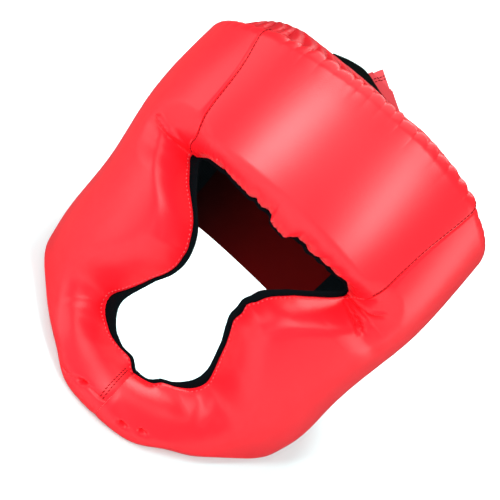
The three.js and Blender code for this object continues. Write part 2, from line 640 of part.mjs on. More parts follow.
addPiece("forehead_pad", foreheadPad(), RED_LEATHER);
addPiece("forehead_lining", foreheadLining(), BLACK_FABRIC);
for (const [name, side] of Object.entries({ left: 1, right: -1 })) {
  addPiece(`side_pad_${name}`, sidePad(side), RED_LEATHER);
  addPiece(`side_lining_${name}`, sideLining(side), BLACK_FABRIC);
}
addPiece("crown_hem", crownHem(), RED_LEATHER);
addPiece("back_panel", backPanel(), RED_LEATHER);
addPiece("loop_band", loopBand(), BLACK_FABRIC);
addPiece("crown_strap", crownStrap(), RED_LEATHER);

const headgear = new THREE.Group();
headgear.add(worn);
export default headgear;
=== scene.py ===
# %% [markdown]
# # A kickboxing headgear
# This lesson dresses a padded head guard: red leather pads stuffed with foam, a black lining that shows as
# a rim round the face, a gathered hem round the open crown, and a strap at the back. The solids of the
# guard are loaded first and stay fixed. Every piece made here stands in the place of one of them.

# %% Load the solids
import math

import bpy
import numpy as np
from mathutils import Matrix, Vector


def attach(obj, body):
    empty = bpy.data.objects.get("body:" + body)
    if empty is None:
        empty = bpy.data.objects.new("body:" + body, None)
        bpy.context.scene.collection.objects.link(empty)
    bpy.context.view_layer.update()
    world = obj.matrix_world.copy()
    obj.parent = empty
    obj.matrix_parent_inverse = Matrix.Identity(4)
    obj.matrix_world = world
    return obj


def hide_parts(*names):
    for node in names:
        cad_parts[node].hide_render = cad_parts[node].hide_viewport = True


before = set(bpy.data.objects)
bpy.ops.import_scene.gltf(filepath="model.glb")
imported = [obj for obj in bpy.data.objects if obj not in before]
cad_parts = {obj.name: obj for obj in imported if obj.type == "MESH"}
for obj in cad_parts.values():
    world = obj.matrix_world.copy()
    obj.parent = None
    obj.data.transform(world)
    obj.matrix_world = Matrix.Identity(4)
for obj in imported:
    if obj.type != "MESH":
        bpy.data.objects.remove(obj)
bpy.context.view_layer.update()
print("solids:", ", ".join(sorted(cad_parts)))

# %% [markdown]
# ## How it lies
# The guard is easiest to describe upright, as worn: the face looks along -Y and the chin is at height 0,
# all in millimetres. On the floor it leans back until its lower rim lies flat. One function makes that
# move, so every shape below can be thought of upright.

# %% From worn to lying
REST_PITCH = math.radians(24)
REST_SHIFT = -53.122
CHIN_RIM_REACH = 84.0
REST_FLATTENING = 3.0
REST_DROP = -(CHIN_RIM_REACH * math.sin(REST_PITCH) + REST_FLATTENING * math.cos(REST_PITCH))


def lying(points):
    """Worn places in millimetres as places on the floor in metres."""
    x, y, z = np.moveaxis(np.asarray(points, float), -1, 0)
    back = y * math.cos(REST_PITCH) + z * math.sin(REST_PITCH) + REST_SHIFT
    up = -y * math.sin(REST_PITCH) + z * math.cos(REST_PITCH) + REST_DROP
    return np.stack([x, back, up], -1) / 1000


def turned(directions):
    """Worn directions as directions on the floor."""
    return (lying(directions) - lying((0, 0, 0))) * 1000


def flattened(points):
    """The floor presses the soft rim flat."""
    points[..., 2] = np.maximum(points[..., 2], 0)
    return points


print("leans back by", round(math.degrees(REST_PITCH)), "degrees")

# %% [markdown]
# ## The camera
# The picture is taken from the front, a little from above, and the whole frame is turned so that the crown
# points to the upper right. A long lens at more than a metre keeps the perspective mild. The lens follows
# from how many millimetres the picture spans at that distance.

# %% Set the camera
CAMERA_DISTANCE = 1200.0
CAMERA_ELEVATION = math.radians(29)
CAMERA_ROLL = math.radians(43)
PICTURE_SPAN = 328.0
SENSOR = 36
AIM = lying((1.0, 0.0, 124.0))


def placed(name, data):
    """A new object in the scene."""
    made = bpy.data.objects.new(name, data)
    bpy.context.collection.objects.link(made)
    return made


camera = placed("camera", bpy.data.cameras.new("camera"))
camera.data.sensor_width = SENSOR
camera.data.lens = SENSOR * CAMERA_DISTANCE / PICTURE_SPAN
towards_camera = Vector((0, -math.cos(CAMERA_ELEVATION), math.sin(CAMERA_ELEVATION)))
camera.location = Vector(AIM) + towards_camera * CAMERA_DISTANCE / 1000
look = towards_camera.to_track_quat("Z", "Y")
camera.rotation_euler = (look.to_matrix() @ Matrix.Rotation(CAMERA_ROLL, 3, "Z")).to_euler()
bpy.context.scene.camera = camera
print("lens", round(camera.data.lens, 1), "mm")

# %% [markdown]
# ## The head inside
# All the padding follows one smooth surface: the inner face, which the wearer's head fills. A short table
# gives its size at a few levels, and a smooth curve runs between the rows. A place on the guard is then an
# azimuth in degrees from straight ahead, a height, and a distance out from that face.

# %% Describe the inner face
HEAD = {
    "height": (0, 40, 90, 135, 185, 225, 265),
    "half_width": (67, 73, 79.5, 84.5, 90, 90, 84),
    "front": (84, 85, 85, 85, 84, 78, 68),
    "back": (100, 102, 106, 108, 108, 103, 95),
    "squareness": (1.65, 1.8, 2.1, 2.3, 2.3, 2.3, 2.3),
}


def read(table, key, name, at):
    """A column of a table, read between its rows along a smooth curve."""
    x, v = np.array(table[key], float), np.array(table[name], float)
    before = np.maximum(np.arange(len(x)) - 1, 0)
    after = np.minimum(np.arange(len(x)) + 1, len(x) - 1)
    slope = (v[after] - v[before]) / (x[after] - x[before])
    at = np.clip(at, x[0], x[-1])
    k = np.clip(np.searchsorted(x, at, side="right") - 1, 0, len(x) - 2)
    span = x[k + 1] - x[k]
    t = (at - x[k]) / span
    start = v[k] * (1 + 2 * t) + slope[k] * span * t
    end = v[k + 1] * (3 - 2 * t) - slope[k + 1] * span * (1 - t)
    return start * (1 - t) ** 2 + end * t**2


def inner_face(azimuth, height):
    azimuth, height = np.broadcast_arrays(np.asarray(azimuth, float), np.asarray(height, float))
    sine, cosine = np.sin(np.radians(azimuth)), np.cos(np.radians(azimuth))
    across = np.abs(sine) / read(HEAD, "height", "half_width", height)
    depth = np.where(cosine > 0, read(HEAD, "height", "front", height), read(HEAD, "height", "back", height))
    along = np.abs(cosine) / depth
    squareness = read(HEAD, "height", "squareness", height)
    reach = (across**squareness + along**squareness) ** (-1 / squareness)
    return np.stack([reach * sine, -reach * cosine, height], -1)


def outwards(azimuth, height, step=0.5):
    """The direction square to the inner face."""
    around = inner_face(azimuth + step, height) - inner_face(azimuth - step, height)
    upwards = inner_face(azimuth, height + step) - inner_face(azimuth, height - step)
    normal = np.cross(around, upwards)
    return normal / np.linalg.norm(normal, axis=-1, keepdims=True)


def shell(azimuth, height, offset):
    """Places at a distance out from the inner face."""
    return inner_face(azimuth, height) + outwards(azimuth, height) * np.asarray(offset, float)[..., None]


def rest_height(azimuth, rounds=8):
    """Where the plane of the lower rim meets the inner face."""
    height = np.zeros_like(azimuth)
    for _ in range(rounds):
        height = (inner_face(azimuth, height)[..., 1] + CHIN_RIM_REACH) * math.tan(REST_PITCH)
    return height


print("inner face described at", len(HEAD["height"]), "levels")

# %% [markdown]
# ## From grids to closed pieces
# Each piece is a wall between two grids of points, one outside and one inside. Building the faces with
# index arrays keeps it quick. The walls round the edge close the piece, and the sign of its volume tells
# which way faces point. The hidden inner grid of a pad can be thinned, which saves faces where nobody
# looks.

# %% Make a closed piece from two grids
SHARP_ANGLE = math.radians(60)


def inner_cells(index, thin):
    """Faces of a grid that keeps every few points inside and all points on its rim."""
    rows, columns = index.shape
    row_marks = [*range(0, rows - 1, thin), rows - 1]
    column_marks = [*range(0, columns - 1, thin), columns - 1]
    cells = []
    for top, bottom in zip(row_marks, row_marks[1:]):
        for left, right in zip(column_marks, column_marks[1:]):
            across = range(left, right) if top == 0 else (left,)
            down = range(top, bottom) if right == columns - 1 else (top,)
            backwards = range(right, left, -1) if bottom == rows - 1 else (right,)
            upwards = range(bottom, top, -1) if left == 0 else (bottom,)
            cell = [index[top, k] for k in across] + [index[k, right] for k in down]
            cell += [index[bottom, k] for k in backwards] + [index[k, left] for k in upwards]
            cells.append(cell[::-1])
    return cells


def wall_piece(name, outer, inner, outer_finish, inner_finish=None, thin=1):
    """A closed piece between two grids of places in metres."""
    rows, columns = outer.shape[:2]
    count = rows * columns
    index = np.arange(count).reshape(rows, columns)
    sheet = np.stack([index[:-1, :-1], index[:-1, 1:], index[1:, 1:], index[1:, :-1]], -1).reshape(-1, 4)
    rim = np.concatenate([index[0], index[1:, -1], index[-1, -2::-1], index[-2:0:-1, 0]])
    following = np.roll(rim, -1)
    edge = np.stack([following, rim, rim + count, following + count], -1)
    points = np.concatenate([outer.reshape(-1, 3), inner.reshape(-1, 3)])
    a, b, c, d = (points[np.concatenate([sheet, sheet[:, ::-1] + count, edge])[:, k]] for k in range(4))
    volume = np.einsum("ij,ij->", a, np.cross(b, c)) + np.einsum("ij,ij->", a, np.cross(c, d))
    inside = inner_cells(index + count, thin)
    faces = [*sheet.tolist(), *inside, *edge.tolist()]
    if volume < 0:
        faces = [face[::-1] for face in faces]
    kept = np.unique(np.concatenate([index.ravel(), np.concatenate(inside)]))
    place = np.zeros(2 * count, int)
    place[kept] = np.arange(len(kept))
    mesh = bpy.data.meshes.new(name)
    mesh.from_pydata(points[kept].tolist(), [], [place[face].tolist() for face in faces])
    mesh.materials.append(outer_finish)
    if inner_finish:
        mesh.materials.append(inner_finish)
        shown = np.zeros(len(faces), int)
        shown[len(sheet) : len(sheet) + len(inside)] = 1
        mesh.polygons.foreach_set("material_index", shown)
    mesh.shade_smooth()
    mesh.set_sharp_from_angle(angle=SHARP_ANGLE)
    return placed(name, mesh)


def coordinates(mesh):
    """The places of a mesh's points."""
    places = np.empty(len(mesh.vertices) * 3)
    mesh.vertices.foreach_get("co", places)
    return places.reshape(-1, 3)


def crowded(steps, crowding=0.6):
    """Even steps from 0 to 1 that crowd towards both ends, where the leather curves most."""
    t = np.linspace(0, 1, steps + 1)
    return t - crowding * np.sin(2 * np.pi * t) / (2 * np.pi)


print("four steps crowd like", crowded(4).round(2))

# %% [markdown]
# ## Short words for node trees
# Node trees are long to write out. One function adds a node with its options and feeds its inputs, either
# with a plain value or with another node's output. Another gives the Math nodes short names, so that a
# rule reads as a formula. A third starts a tree with named sockets. The finishes, the gathers and the
# stitches all use them.

# %% Define the node helpers
SOCKET_KINDS = {"Geometry": "NodeSocketGeometry", "Finish": "NodeSocketMaterial"}


def feed(tree, node, inputs):
    for name, value in inputs.items():
        if isinstance(value, bpy.types.NodeSocket):
            tree.links.new(value, node.inputs[name])
        else:
            node.inputs[name].default_value = value


def add_node(tree, kind, inputs=None, **options):
    node = tree.nodes.new(kind)
    for name, value in options.items():
        setattr(node, name, value)
    feed(tree, node, inputs or {})
    return node


def maths(tree, *operations):
    """One function for each operation, which adds that Math node and gives its output."""

    def adder(operation):
        def add(*values):
            return add_node(tree, "ShaderNodeMath", dict(enumerate(values)), operation=operation).outputs[0]

        return add

    return [adder(operation) for operation in operations]


def new_tree(kind, name, inputs, outputs):
    """A tree with named sockets, the outputs of its first node, and its last node."""
    tree = bpy.data.node_groups.new(name, kind)
    for label, value in inputs.items():
        socket_kind = SOCKET_KINDS.get(label, "NodeSocketFloat")
        socket = tree.interface.new_socket(label, in_out="INPUT", socket_type=socket_kind)
        if value is not None:
            socket.default_value = value
    for label in outputs:
        socket_kind = SOCKET_KINDS.get(label, "NodeSocketFloat")
        tree.interface.new_socket(label, in_out="OUTPUT", socket_type=socket_kind)
    return tree, tree.nodes.new("NodeGroupInput").outputs, tree.nodes.new("NodeGroupOutput")


print("special sockets:", ", ".join(SOCKET_KINDS))

# %% [markdown]
# ## Leather grain and cloth weave
# Two effects are shared by several finishes, so each is a node group with named inputs. The grain is a
# field of small rounded cells with a slow change of tone. The weave is two crossing sets of threads. Both
# work from Object coordinates, so they stay at their real size on every piece.

# %% Build the shared effects
TONE_CHANGE = 0.06
TONE_SCALE, TONE_DETAIL = 28, 3

grain_inputs = {"Cells per Metre": 1300.0, "Tone Change": TONE_CHANGE}
grain_group, given, result = new_tree("ShaderNodeTree", "leather_grain", grain_inputs, ("Height", "Tone"))
place = add_node(grain_group, "ShaderNodeTexCoord").outputs["Object"]
cells = {"Vector": place, "Scale": given["Cells per Metre"]}
cells = add_node(grain_group, "ShaderNodeTexVoronoi", cells, feature="SMOOTH_F1").outputs["Distance"]
slow = {"Vector": place, "Scale": TONE_SCALE, "Detail": TONE_DETAIL}
slow = add_node(grain_group, "ShaderNodeTexNoise", slow).outputs["Fac"]
plus, less, times = maths(grain_group, "ADD", "SUBTRACT", "MULTIPLY")
tone = plus(times(less(slow, 0.5), given["Tone Change"]), 1.0)
feed(grain_group, result, {"Height": less(1.0, cells), "Tone": tone})

weave_inputs = {"Threads per Metre": 1500.0}
weave_group, given, result = new_tree("ShaderNodeTree", "cloth_weave", weave_inputs, ("Height",))
place = add_node(weave_group, "ShaderNodeTexCoord").outputs["Object"]
apart = add_node(weave_group, "ShaderNodeSeparateXYZ", {0: place}).outputs
plus, times, sine = maths(weave_group, "ADD", "MULTIPLY", "SINE")
angle = times(given["Threads per Metre"], 2 * math.pi)
waves = {axis: sine(times(apart[axis], angle)) for axis in "XYZ"}
height = plus(times(waves["X"], waves["Z"]), times(waves["Y"], waves["Z"]))
feed(weave_group, result, {"Height": height})
print("shared effects:", grain_group.name, weave_group.name)

# %% [markdown]
# ## The finishes
# The leather is smooth coated synthetic hide: a strong even red with a soft sheen, so its roughness is
# moderate and the bump of the grain is shallow. The hem's hide has a darker red that is painted shade,
# standing for the shade between its hard-drawn pleats, and its sheen is duller.
# The back of the rear panel is bare hide in a dark red that is partly its own colour and partly painted
# shade for the inside of the guard, and painted shade darkens it further towards one end. The lining is a
# matt black cloth, the loop band is a fuzzy black tape, the seam thread is a darker red than the hide and
# the edge thread is paler.

# %% Define the finishes
LEATHER_IOR = 1.5
GRAIN_BUMP = (0.00012, 0.35)
WEAVE_STRENGTH = 0.6
CLOTH_LOOK = {"Specular IOR Level": 0.06, "Sheen Weight": 0.008, "Sheen Roughness": 0.4}


def new_finish(name, colour, roughness, more):
    finish = bpy.data.materials.new(name)
    finish.use_nodes = True
    shader = finish.node_tree.nodes["Principled BSDF"]
    feed(finish.node_tree, shader, {"Base Color": (*colour, 1), "Roughness": roughness, **more})
    return finish, finish.node_tree, shader


def bumped(tree, height, distance, strength):
    bump = {"Height": height, "Distance": distance, "Strength": strength}
    return add_node(tree, "ShaderNodeBump", bump).outputs["Normal"]


def mixed(tree, factor, first, second, blend="MIX"):
    mix = {"Factor": factor, "A": first, "B": second}
    return add_node(tree, "ShaderNodeMix", mix, data_type="RGBA", blend_type=blend).outputs["Result"]


def faded(tree, value, start, end, low=0.0, high=1.0):
    """A smooth change from low to high between two places."""
    limits = {"Value": value, "From Min": start, "From Max": end, "To Min": low, "To Max": high}
    return add_node(tree, "ShaderNodeMapRange", limits, interpolation_type="SMOOTHSTEP").outputs["Result"]


def leather(name, colour, roughness, shine=0.5, painted_shade_fade=None):
    """Coated hide; the optional fade paints shade along X: where it starts dark, where it is full, and how
    dark it starts.
    """
    finish, tree, shader = new_finish(
        name, colour, roughness, {"IOR": LEATHER_IOR, "Specular IOR Level": shine}
    )
    grain = add_node(tree, "ShaderNodeGroup", {"Tone Change": TONE_CHANGE}, node_tree=grain_group)
    tone = grain.outputs["Tone"]
    hide = mixed(tree, 1, (*colour, 1), tone, "MULTIPLY")
    # painted shade: the hide darkens towards one end along X, standing for the shade inside the guard
    if painted_shade_fade:
        place = add_node(tree, "ShaderNodeTexCoord").outputs["Object"]
        apart = add_node(tree, "ShaderNodeSeparateXYZ", {0: place}).outputs
        hide = mixed(tree, 1, hide, faded(tree, apart["X"], *painted_shade_fade), "MULTIPLY")
    (times,) = maths(tree, "MULTIPLY")
    normal = bumped(tree, grain.outputs["Height"], *GRAIN_BUMP)
    feed(tree, shader, {"Base Color": hide, "Roughness": times(tone, roughness), "Normal": normal})
    return finish


def cloth(name, colour, roughness, threads, depth):
    finish, tree, shader = new_finish(name, colour, roughness, CLOTH_LOOK)
    weave = add_node(tree, "ShaderNodeGroup", {"Threads per Metre": threads}, node_tree=weave_group)
    feed(tree, shader, {"Normal": bumped(tree, weave.outputs["Height"], depth, WEAVE_STRENGTH)})
    return finish


print("finishes share", grain_group.name, "and", weave_group.name)

# %% Mix the finishes
RED_HIDE = leather("red_hide", (0.9, 0.01, 0.02), 0.34)
STRAP_HIDE = leather("strap_hide", (0.85, 0.06, 0.075), 0.5)
# painted shade: the hem's darker red stands for the shade between its pleats
HEM_HIDE_PAINTED_SHADE = leather("hem_hide_painted_shade", (0.66, 0.01, 0.018), 0.36, shine=0.25)
# partly painted shade: the backing's dark red is partly its own colour and partly shade inside the guard;
# its fade towards one end is painted shade
DARK_HIDE_PAINTED_SHADE = leather("dark_red_backing_painted_shade", (0.1, 0.0006, 0.0008), 0.7, shine=0.04, painted_shade_fade=(-0.06, 0.02, 0.12))
BLACK_LINING = cloth("black_lining", (0.0012, 0.0035, 0.005), 0.9, 1100, 0.0002)
BLACK_LOOP = cloth("black_loop_tape", (0.004, 0.006, 0.006), 0.9, 650, 0.0005)
RED_THREAD = cloth("red_thread", (0.25, 0.004, 0.008), 0.6, 2500, 0.00006)
EDGE_THREAD = cloth("edge_thread", (0.85, 0.1, 0.12), 0.5, 2500, 0.00006)
print("finishes:", len(bpy.data.materials))

# %% [markdown]
# ## The layout of a side pad
# Each side pad is one long cushion: it starts beside the crown, wraps the temple, ear and cheek, and
# narrows to half of the chin bar. It could be sculpted, but a loft through sections keeps every size in a
# short table. A section runs from the edge on the face to the edge on the lower rim, and the table gives
# both ends and the padding between.

# %% Lay out the side pad
SIDE = {
    "at": (0.0, 0.15, 0.28, 0.33, 0.4, 0.5, 0.59, 0.69, 0.79, 0.87, 0.94, 1.0),
    "face_azimuth": (52, 44.5, 42, 44.5, 36, 22.5, 18.5, 23, 29.5, 21, 11, 0),
    "face_height": (237, 201, 165, 151, 135, 116, 99, 75, 51, 36, 32, 31),
    "rim_azimuth": (148, 148, 148, 148, 148, 147, 143, 124, 94, 60, 28, 0),
    "rim_rise": (156, 119, 82, 67, 50, 26, 6, 0, 0, 0, 0, 0),
    "sag": (-12, -4, 0, 0, 0, 0, 0, 0, 0, 0, 0, 0),
    "thickness": (26, 28, 29, 29, 29, 29, 29, 29, 28, 27, 27, 28),
    "rim_edge": (0.5, 0.5, 0.5, 0.5, 0.5, 0.45, 0.4, 0.34, 0.26, 0.2, 0.36, 0.36),
}
EYE_CORNER = {"azimuth": 44.5, "height": 151.0, "at": 0.33, "dip": 0.28, "reach": 24.0}
SECTION_STEPS = 8


def side_spot(along, across):
    """Azimuth and height of a place on the side pad's grid."""
    rim_azimuth = read(SIDE, "at", "rim_azimuth", along)
    rim_height = rest_height(rim_azimuth) + read(SIDE, "at", "rim_rise", along)
    face_azimuth = read(SIDE, "at", "face_azimuth", along)
    face_height = read(SIDE, "at", "face_height", along)
    azimuth = face_azimuth + (rim_azimuth - face_azimuth) * across
    sag = read(SIDE, "at", "sag", along) * 4 * across * (1 - across)
    return azimuth, face_height + (rim_height - face_height) * across + sag


def side_point(along, across):
    return inner_face(*side_spot(along, across))


def section_length(along):
    points = side_point(along, np.linspace(0, 1, SECTION_STEPS + 1)[None, :])
    return np.linalg.norm(np.diff(points, axis=1), axis=-1).sum(1, keepdims=True)


print("side pad laid out in", len(SIDE["at"]), "sections")

# %% [markdown]
# ## How thick the padding is
# The padding keeps its full thickness in the middle of a pad and rounds off at the edges. Sewn seams hold
# it nearly full, the crown a little less, and the edge on the face rolls in to almost nothing over a soft
# shoulder. The corners of the eye slot pull the padding in from all round.

# %% Shape the padding
FACE_EDGE = {
    "at": (0.0, 0.22, 0.27, 0.33, 0.4, 0.5, 0.69, 0.79, 0.87, 1.0),
    "share": (0.955, 0.955, 0.7, 0.14, 0.12, 0.12, 0.12, 0.12, 0.12, 0.12),
    "round": (2, 2, 6, 13, 16, 19, 27, 32, 31, 28),
    "curve": (2, 2, 2, 2.8, 3.2, 3.3, 3.3, 3.3, 3.3, 3.3),
}
BROW_SHARE = 0.16
SEAM_SHARE = 0.965
EDGE_ROUND = {"rim": 15, "crown": 8, "brow": 16, "seam": 2}
CROWN_EDGE = 0.72
CHIN_SEAM_EDGE = 0.96


def edge_share(distance, edge, reach):
    """Share of the full padding at a distance from a rounded edge."""
    t = np.clip(distance / reach, 0, 1)
    return edge + (1 - edge) * np.sqrt(1 - (1 - t) ** 2)


def soft_share(distance, edge, reach, curve):
    """Share of the full padding at a distance from the face edge, up to a soft shoulder."""
    return 1 - (1 - edge) * (1 - np.clip(distance / reach, 0, 1)) ** curve


def corner_share(azimuth, height):
    """The corner of the eye slot pulls the padding in."""
    corner = inner_face(EYE_CORNER["azimuth"], EYE_CORNER["height"])
    away = np.linalg.norm(inner_face(np.abs(azimuth), height) - corner, axis=-1)
    t = np.clip(away / EYE_CORNER["reach"], 0, 1)
    return 1 - EYE_CORNER["dip"] * (1 - t * t * (3 - 2 * t))


def side_padding(along, across):
    points, length = side_point(along, across), section_length(along)
    eye_corner = side_point(EYE_CORNER["at"], 0.0)
    corner = np.linalg.norm(side_point(along, 0.0) - eye_corner, axis=-1)
    seam_share = SEAM_SHARE * edge_share(corner, BROW_SHARE, EDGE_ROUND["brow"])
    face_edge = np.where(along < EYE_CORNER["at"], seam_share, read(FACE_EDGE, "at", "share", along))
    shoulder, curve = read(FACE_EDGE, "at", "round", along), read(FACE_EDGE, "at", "curve", along)
    share = soft_share(across * length, face_edge, shoulder, curve)
    share = share * edge_share((1 - across) * length, read(SIDE, "at", "rim_edge", along), EDGE_ROUND["rim"])
    crown = np.linalg.norm(points - side_point(0.0, across), axis=-1)
    chin = np.linalg.norm(points - side_point(1.0, across), axis=-1)
    share = share * edge_share(crown, CROWN_EDGE, EDGE_ROUND["crown"])
    share = share * edge_share(chin, CHIN_SEAM_EDGE, EDGE_ROUND["seam"])
    return read(SIDE, "at", "thickness", along) * share * corner_share(*side_spot(along, across))


middle = side_padding(np.array([[0.5]]), np.array([[0.5]]))
print("padding in the middle of a side pad:", middle.round(1).item(), "mm")

# %% [markdown]
# ## Where the two sides differ
# A worn guard is never quite even. Its stuffing is fuller in some places than in others, the chin's rim
# droops, the crown edge is higher on one side, and one temple seam is sewn a little further forward. Each
# is a short table that is added to the even layout, so the even layout stays easy to read.

# %% List what is uneven
FULLNESS = {
    "azimuth": (-80, -80, -62, -45, -26, -5, 18, 60, 82, 80, 80),
    "height": (110, 205, 30, 20, 12, 14, 14, 28, 60, 150, 205),
    "extra": (-3.2, -1.9, -4.1, -1.8, 1.1, 2.2, 2.2, -1.7, 4.4, 1.6, -1.8),
    "reach": (32, 34, 24, 22, 20, 22, 22, 24, 28, 32, 34),
}
RIM_DROOP = {
    "azimuth": (-70, -50, -36, -24, -12, 0, 12, 24, 36, 50, 70),
    "drop": (0, -1.1, -1.1, 1.1, 8.4, 8.4, 8.4, 1.9, 1.3, -0.8, 0),
    "reach": 22.0,
}
CROWN_LIFT = {
    "azimuth": (-110, -75, -52, -30, -10, 10, 25, 52, 75, 110),
    "lift": (0, -3, -4.2, -3.4, -2.4, -1.2, 1.6, 3.6, 3, 0),
    "reach": 26.0,
}
SEAM_SWING = {
    "height": (150, 154, 159, 166, 178, 190, 220, 240),
    "swing": (0, 1.2, 2.8, 2.5, 1.3, 1.0, 1.4, 2.5),
    "azimuth": -43.0,
    "reach": 10.0,
}


def fullness(azimuth, height):
    """Where the stuffing is fuller or thinner than even."""
    points = inner_face(azimuth, height)
    extra = np.zeros(points.shape[:-1])
    for at, up, more, reach in zip(*FULLNESS.values()):
        extra += more * np.exp(-((np.linalg.norm(points - inner_face(at, up), axis=-1) / reach) ** 2))
    return extra


def crown_lift(azimuth, below_crown):
    """The crown edge isn't level; the lift fades downwards."""
    return read(CROWN_LIFT, "azimuth", "lift", azimuth) * np.exp(-((below_crown / CROWN_LIFT["reach"]) ** 2))


def seam_swing(azimuth, height):
    """One temple seam is sewn a little further forward than the other."""
    away = (azimuth - SEAM_SWING["azimuth"]) / SEAM_SWING["reach"]
    return read(SEAM_SWING, "height", "swing", height) * np.exp(-(away**2))


print("uneven stuffing at", len(FULLNESS["extra"]), "places")

# %% [markdown]
# ## Folds
# Leather that turns a tight corner folds. The strongest folds run out of the corners of the eye slot and
# of the mouth, and a few pinches lie along the chin's hem. They could be simulated, but then they would
# fall anywhere. A row here is one fold: where it starts, where it ends, its depth and its width. It fades
# towards its far end. A negative depth makes a ridge.

# %% List the folds
# from azimuth and height, to azimuth and height, depth, width
FOLDS = (
    (-44.2, 149.2, -50.8, 150.2, -2.8, 1.4),
    (-54.8, 153.8, -47.5, 149.7, -4.2, 1.5),
    (-44, 147, -52.5, 149.6, 5.8, 1.6),
    (-45.3, 152, -48.5, 155.2, 2.4, 2.2),
    (-30, 45, -35, 31, -0.8, 2.2),
    (-30.5, 48, -36, 34, 1.2, 3),
    (-27, 34, -21, 25, -1, 4),
    (-18.8, 104, -27, 99, -1.0, 3.2),
    (45, 150.9, 43.6, 163, 5, 1.5),
    (44.8, 149.9, 50.1, 160.2, -4.6, 1.1),
    (45.4, 149, 50.9, 159, 5, 1.1),
    (44.3, 146.2, 47.8, 140.3, 6.5, 1.1),
    (45, 147.2, 49, 141.7, -2.8, 1),
    (45.7, 148.2, 50.1, 143.2, 6.5, 1.1),
    (44.2, 162.6, 44.8, 164.6, -0.9, 1.5),
    (51, 140.5, 76, 133.5, 1.2, 6),
    (29.5, 47, 33.5, 30, -0.4, 2.4),
    (27.5, 42, 27, 29, 0.9, 2.6),
    (-0.5, 13.9, -6.5, 14.4, 1.8, 0.8),
    (-6.5, 14.4, -13.3, 11.4, 1.7, 0.9),
    (-7.3, 13.4, -5.6, 14.9, 3.4, 1),
    (5.4, 12.1, 7.5, 12.8, 4.2, 1),
    (11.2, 15.5, 13.6, 15.9, 4, 1),
    (-13.3, 11.4, -16.5, 10, 1.5, 0.9),
)
FOLD_FADE, FOLD_FADE_POWER = 0.85, 1.5


def fold_depth(azimuth, height):
    points = inner_face(azimuth, height)
    total = np.zeros(points.shape[:-1])
    for from_azimuth, from_height, to_azimuth, to_height, depth, width in FOLDS:
        start = inner_face(from_azimuth, from_height)
        run = inner_face(to_azimuth, to_height) - start
        t = np.clip(((points - start) @ run) / (run @ run), 0, 1)
        away = np.linalg.norm(points - start - t[..., None] * run, axis=-1) / width
        total += depth * (1 - FOLD_FADE * t**FOLD_FADE_POWER) * np.exp(-(away**2))
    return total


print("folds:", len(FOLDS))

# %% [markdown]
# ## Swelling the pads with cloth
# A stuffed pad isn't a plain loft: its cover is a little larger than the foam, so it swells between its
# seams and wrinkles where they hold it. Cloth simulation gives that. A coarse copy of the pad is held
# along its edges and its inner face, its cover grows a little, and pressure pushes it out. The movement is
# capped, and its slow part is taken off, so that only bulges and wrinkles stay. They fade at the edges and
# are spread over the fine grid.

# %% Simulate the swelling
SWELL_FRAMES = 22
SWELL_CAP = 0.004
SWELL_ROOM = 0.92
SWELL_BLUR, FINE_BLUR = (7, 6), (2.0, 2.0)
SWELL_SHARE = 0.35
SWELL_FADE = 4
COVER = {
    "vertex_group_mass": "held",
    "quality": 6,
    "mass": 0.3,
    "tension_stiffness": 15,
    "compression_stiffness": 15,
    "shear_stiffness": 5,
    "bending_stiffness": 0.6,
    "use_pressure": True,
    "uniform_pressure_force": 2.5,
    "shrink_min": -0.004,
}


def blurred(values, widths):
    """The slow part of a grid of moves."""
    for axis, width in enumerate(widths):
        step = np.arange(values.shape[axis])
        weight = np.exp(-(((step[:, None] - step[None, :]) / width) ** 2) / 2)
        values = np.moveaxis(np.tensordot(weight / weight.sum(1, keepdims=True), values, (1, axis)), 0, axis)
    return values


def swell(name, outer, inner):
    """The bulges and wrinkles of a coarse cover that grows and is blown up, in metres."""
    rows, columns = outer.shape[:2]
    small = inner + (outer - inner) * SWELL_ROOM
    cover = wall_piece(name + "_cover", small, inner, RED_HIDE)
    held = np.ones((2, rows, columns))
    held[0, 1:-1, 1:-1] = 0
    group = cover.vertex_groups.new(name="held")
    group.add(np.flatnonzero(held.ravel()).tolist(), 1.0, "REPLACE")
    modifier = cover.modifiers.new("swell", "CLOTH")
    for option, value in COVER.items():
        setattr(modifier.settings, option, value)
    modifier.settings.effector_weights.gravity = 0
    modifier.collision_settings.use_collision = False
    modifier.point_cache.frame_end = SWELL_FRAMES + 2
    for number in range(1, SWELL_FRAMES + 1):
        bpy.context.scene.frame_set(number)
    blown = cover.evaluated_get(bpy.context.evaluated_depsgraph_get()).to_mesh()
    move = coordinates(blown).reshape(2, rows, columns, 3)[0] - small
    bpy.data.objects.remove(cover)
    bpy.context.scene.frame_set(1)
    far = np.linalg.norm(move, axis=-1, keepdims=True)
    print(name, "swells by", round(float(np.median(far)) * 1000, 1), "mm")
    change = move * np.minimum(1, SWELL_CAP / np.maximum(far, 1e-9)) + small - outer
    down, over = (np.minimum(np.arange(n), np.arange(n)[::-1]) for n in (rows, columns))
    fade = np.clip(np.minimum(down[:, None], over) / SWELL_FADE, 0, 1)[..., None]
    return blurred(change - blurred(change, SWELL_BLUR), FINE_BLUR) * fade * SWELL_SHARE


def spread(count, fine):
    """Weights that take values at even steps to finer places along smooth curves."""
    position = np.clip(np.asarray(fine) * (count - 1), 0, count - 1)
    k = np.clip(position.astype(int), 0, count - 2)
    t = position - k
    weights = np.zeros((len(position), count))
    basis = (
        -0.5 * t + t**2 - 0.5 * t**3,
        1 - 2.5 * t**2 + 1.5 * t**3,
        0.5 * t + 2 * t**2 - 1.5 * t**3,
        -0.5 * t**2 + 0.5 * t**3,
    )
    for step, share in zip((-1, 0, 1, 2), basis):
        np.add.at(weights, (np.arange(len(position)), np.clip(k + step, 0, count - 1)), share)
    return weights


def refined(move, down, over):
    """The moves of a coarse grid, read at the rows and columns of a finer one."""
    return np.einsum("ai,bj,ijk->abk", spread(move.shape[0], down), spread(move.shape[1], over), move)


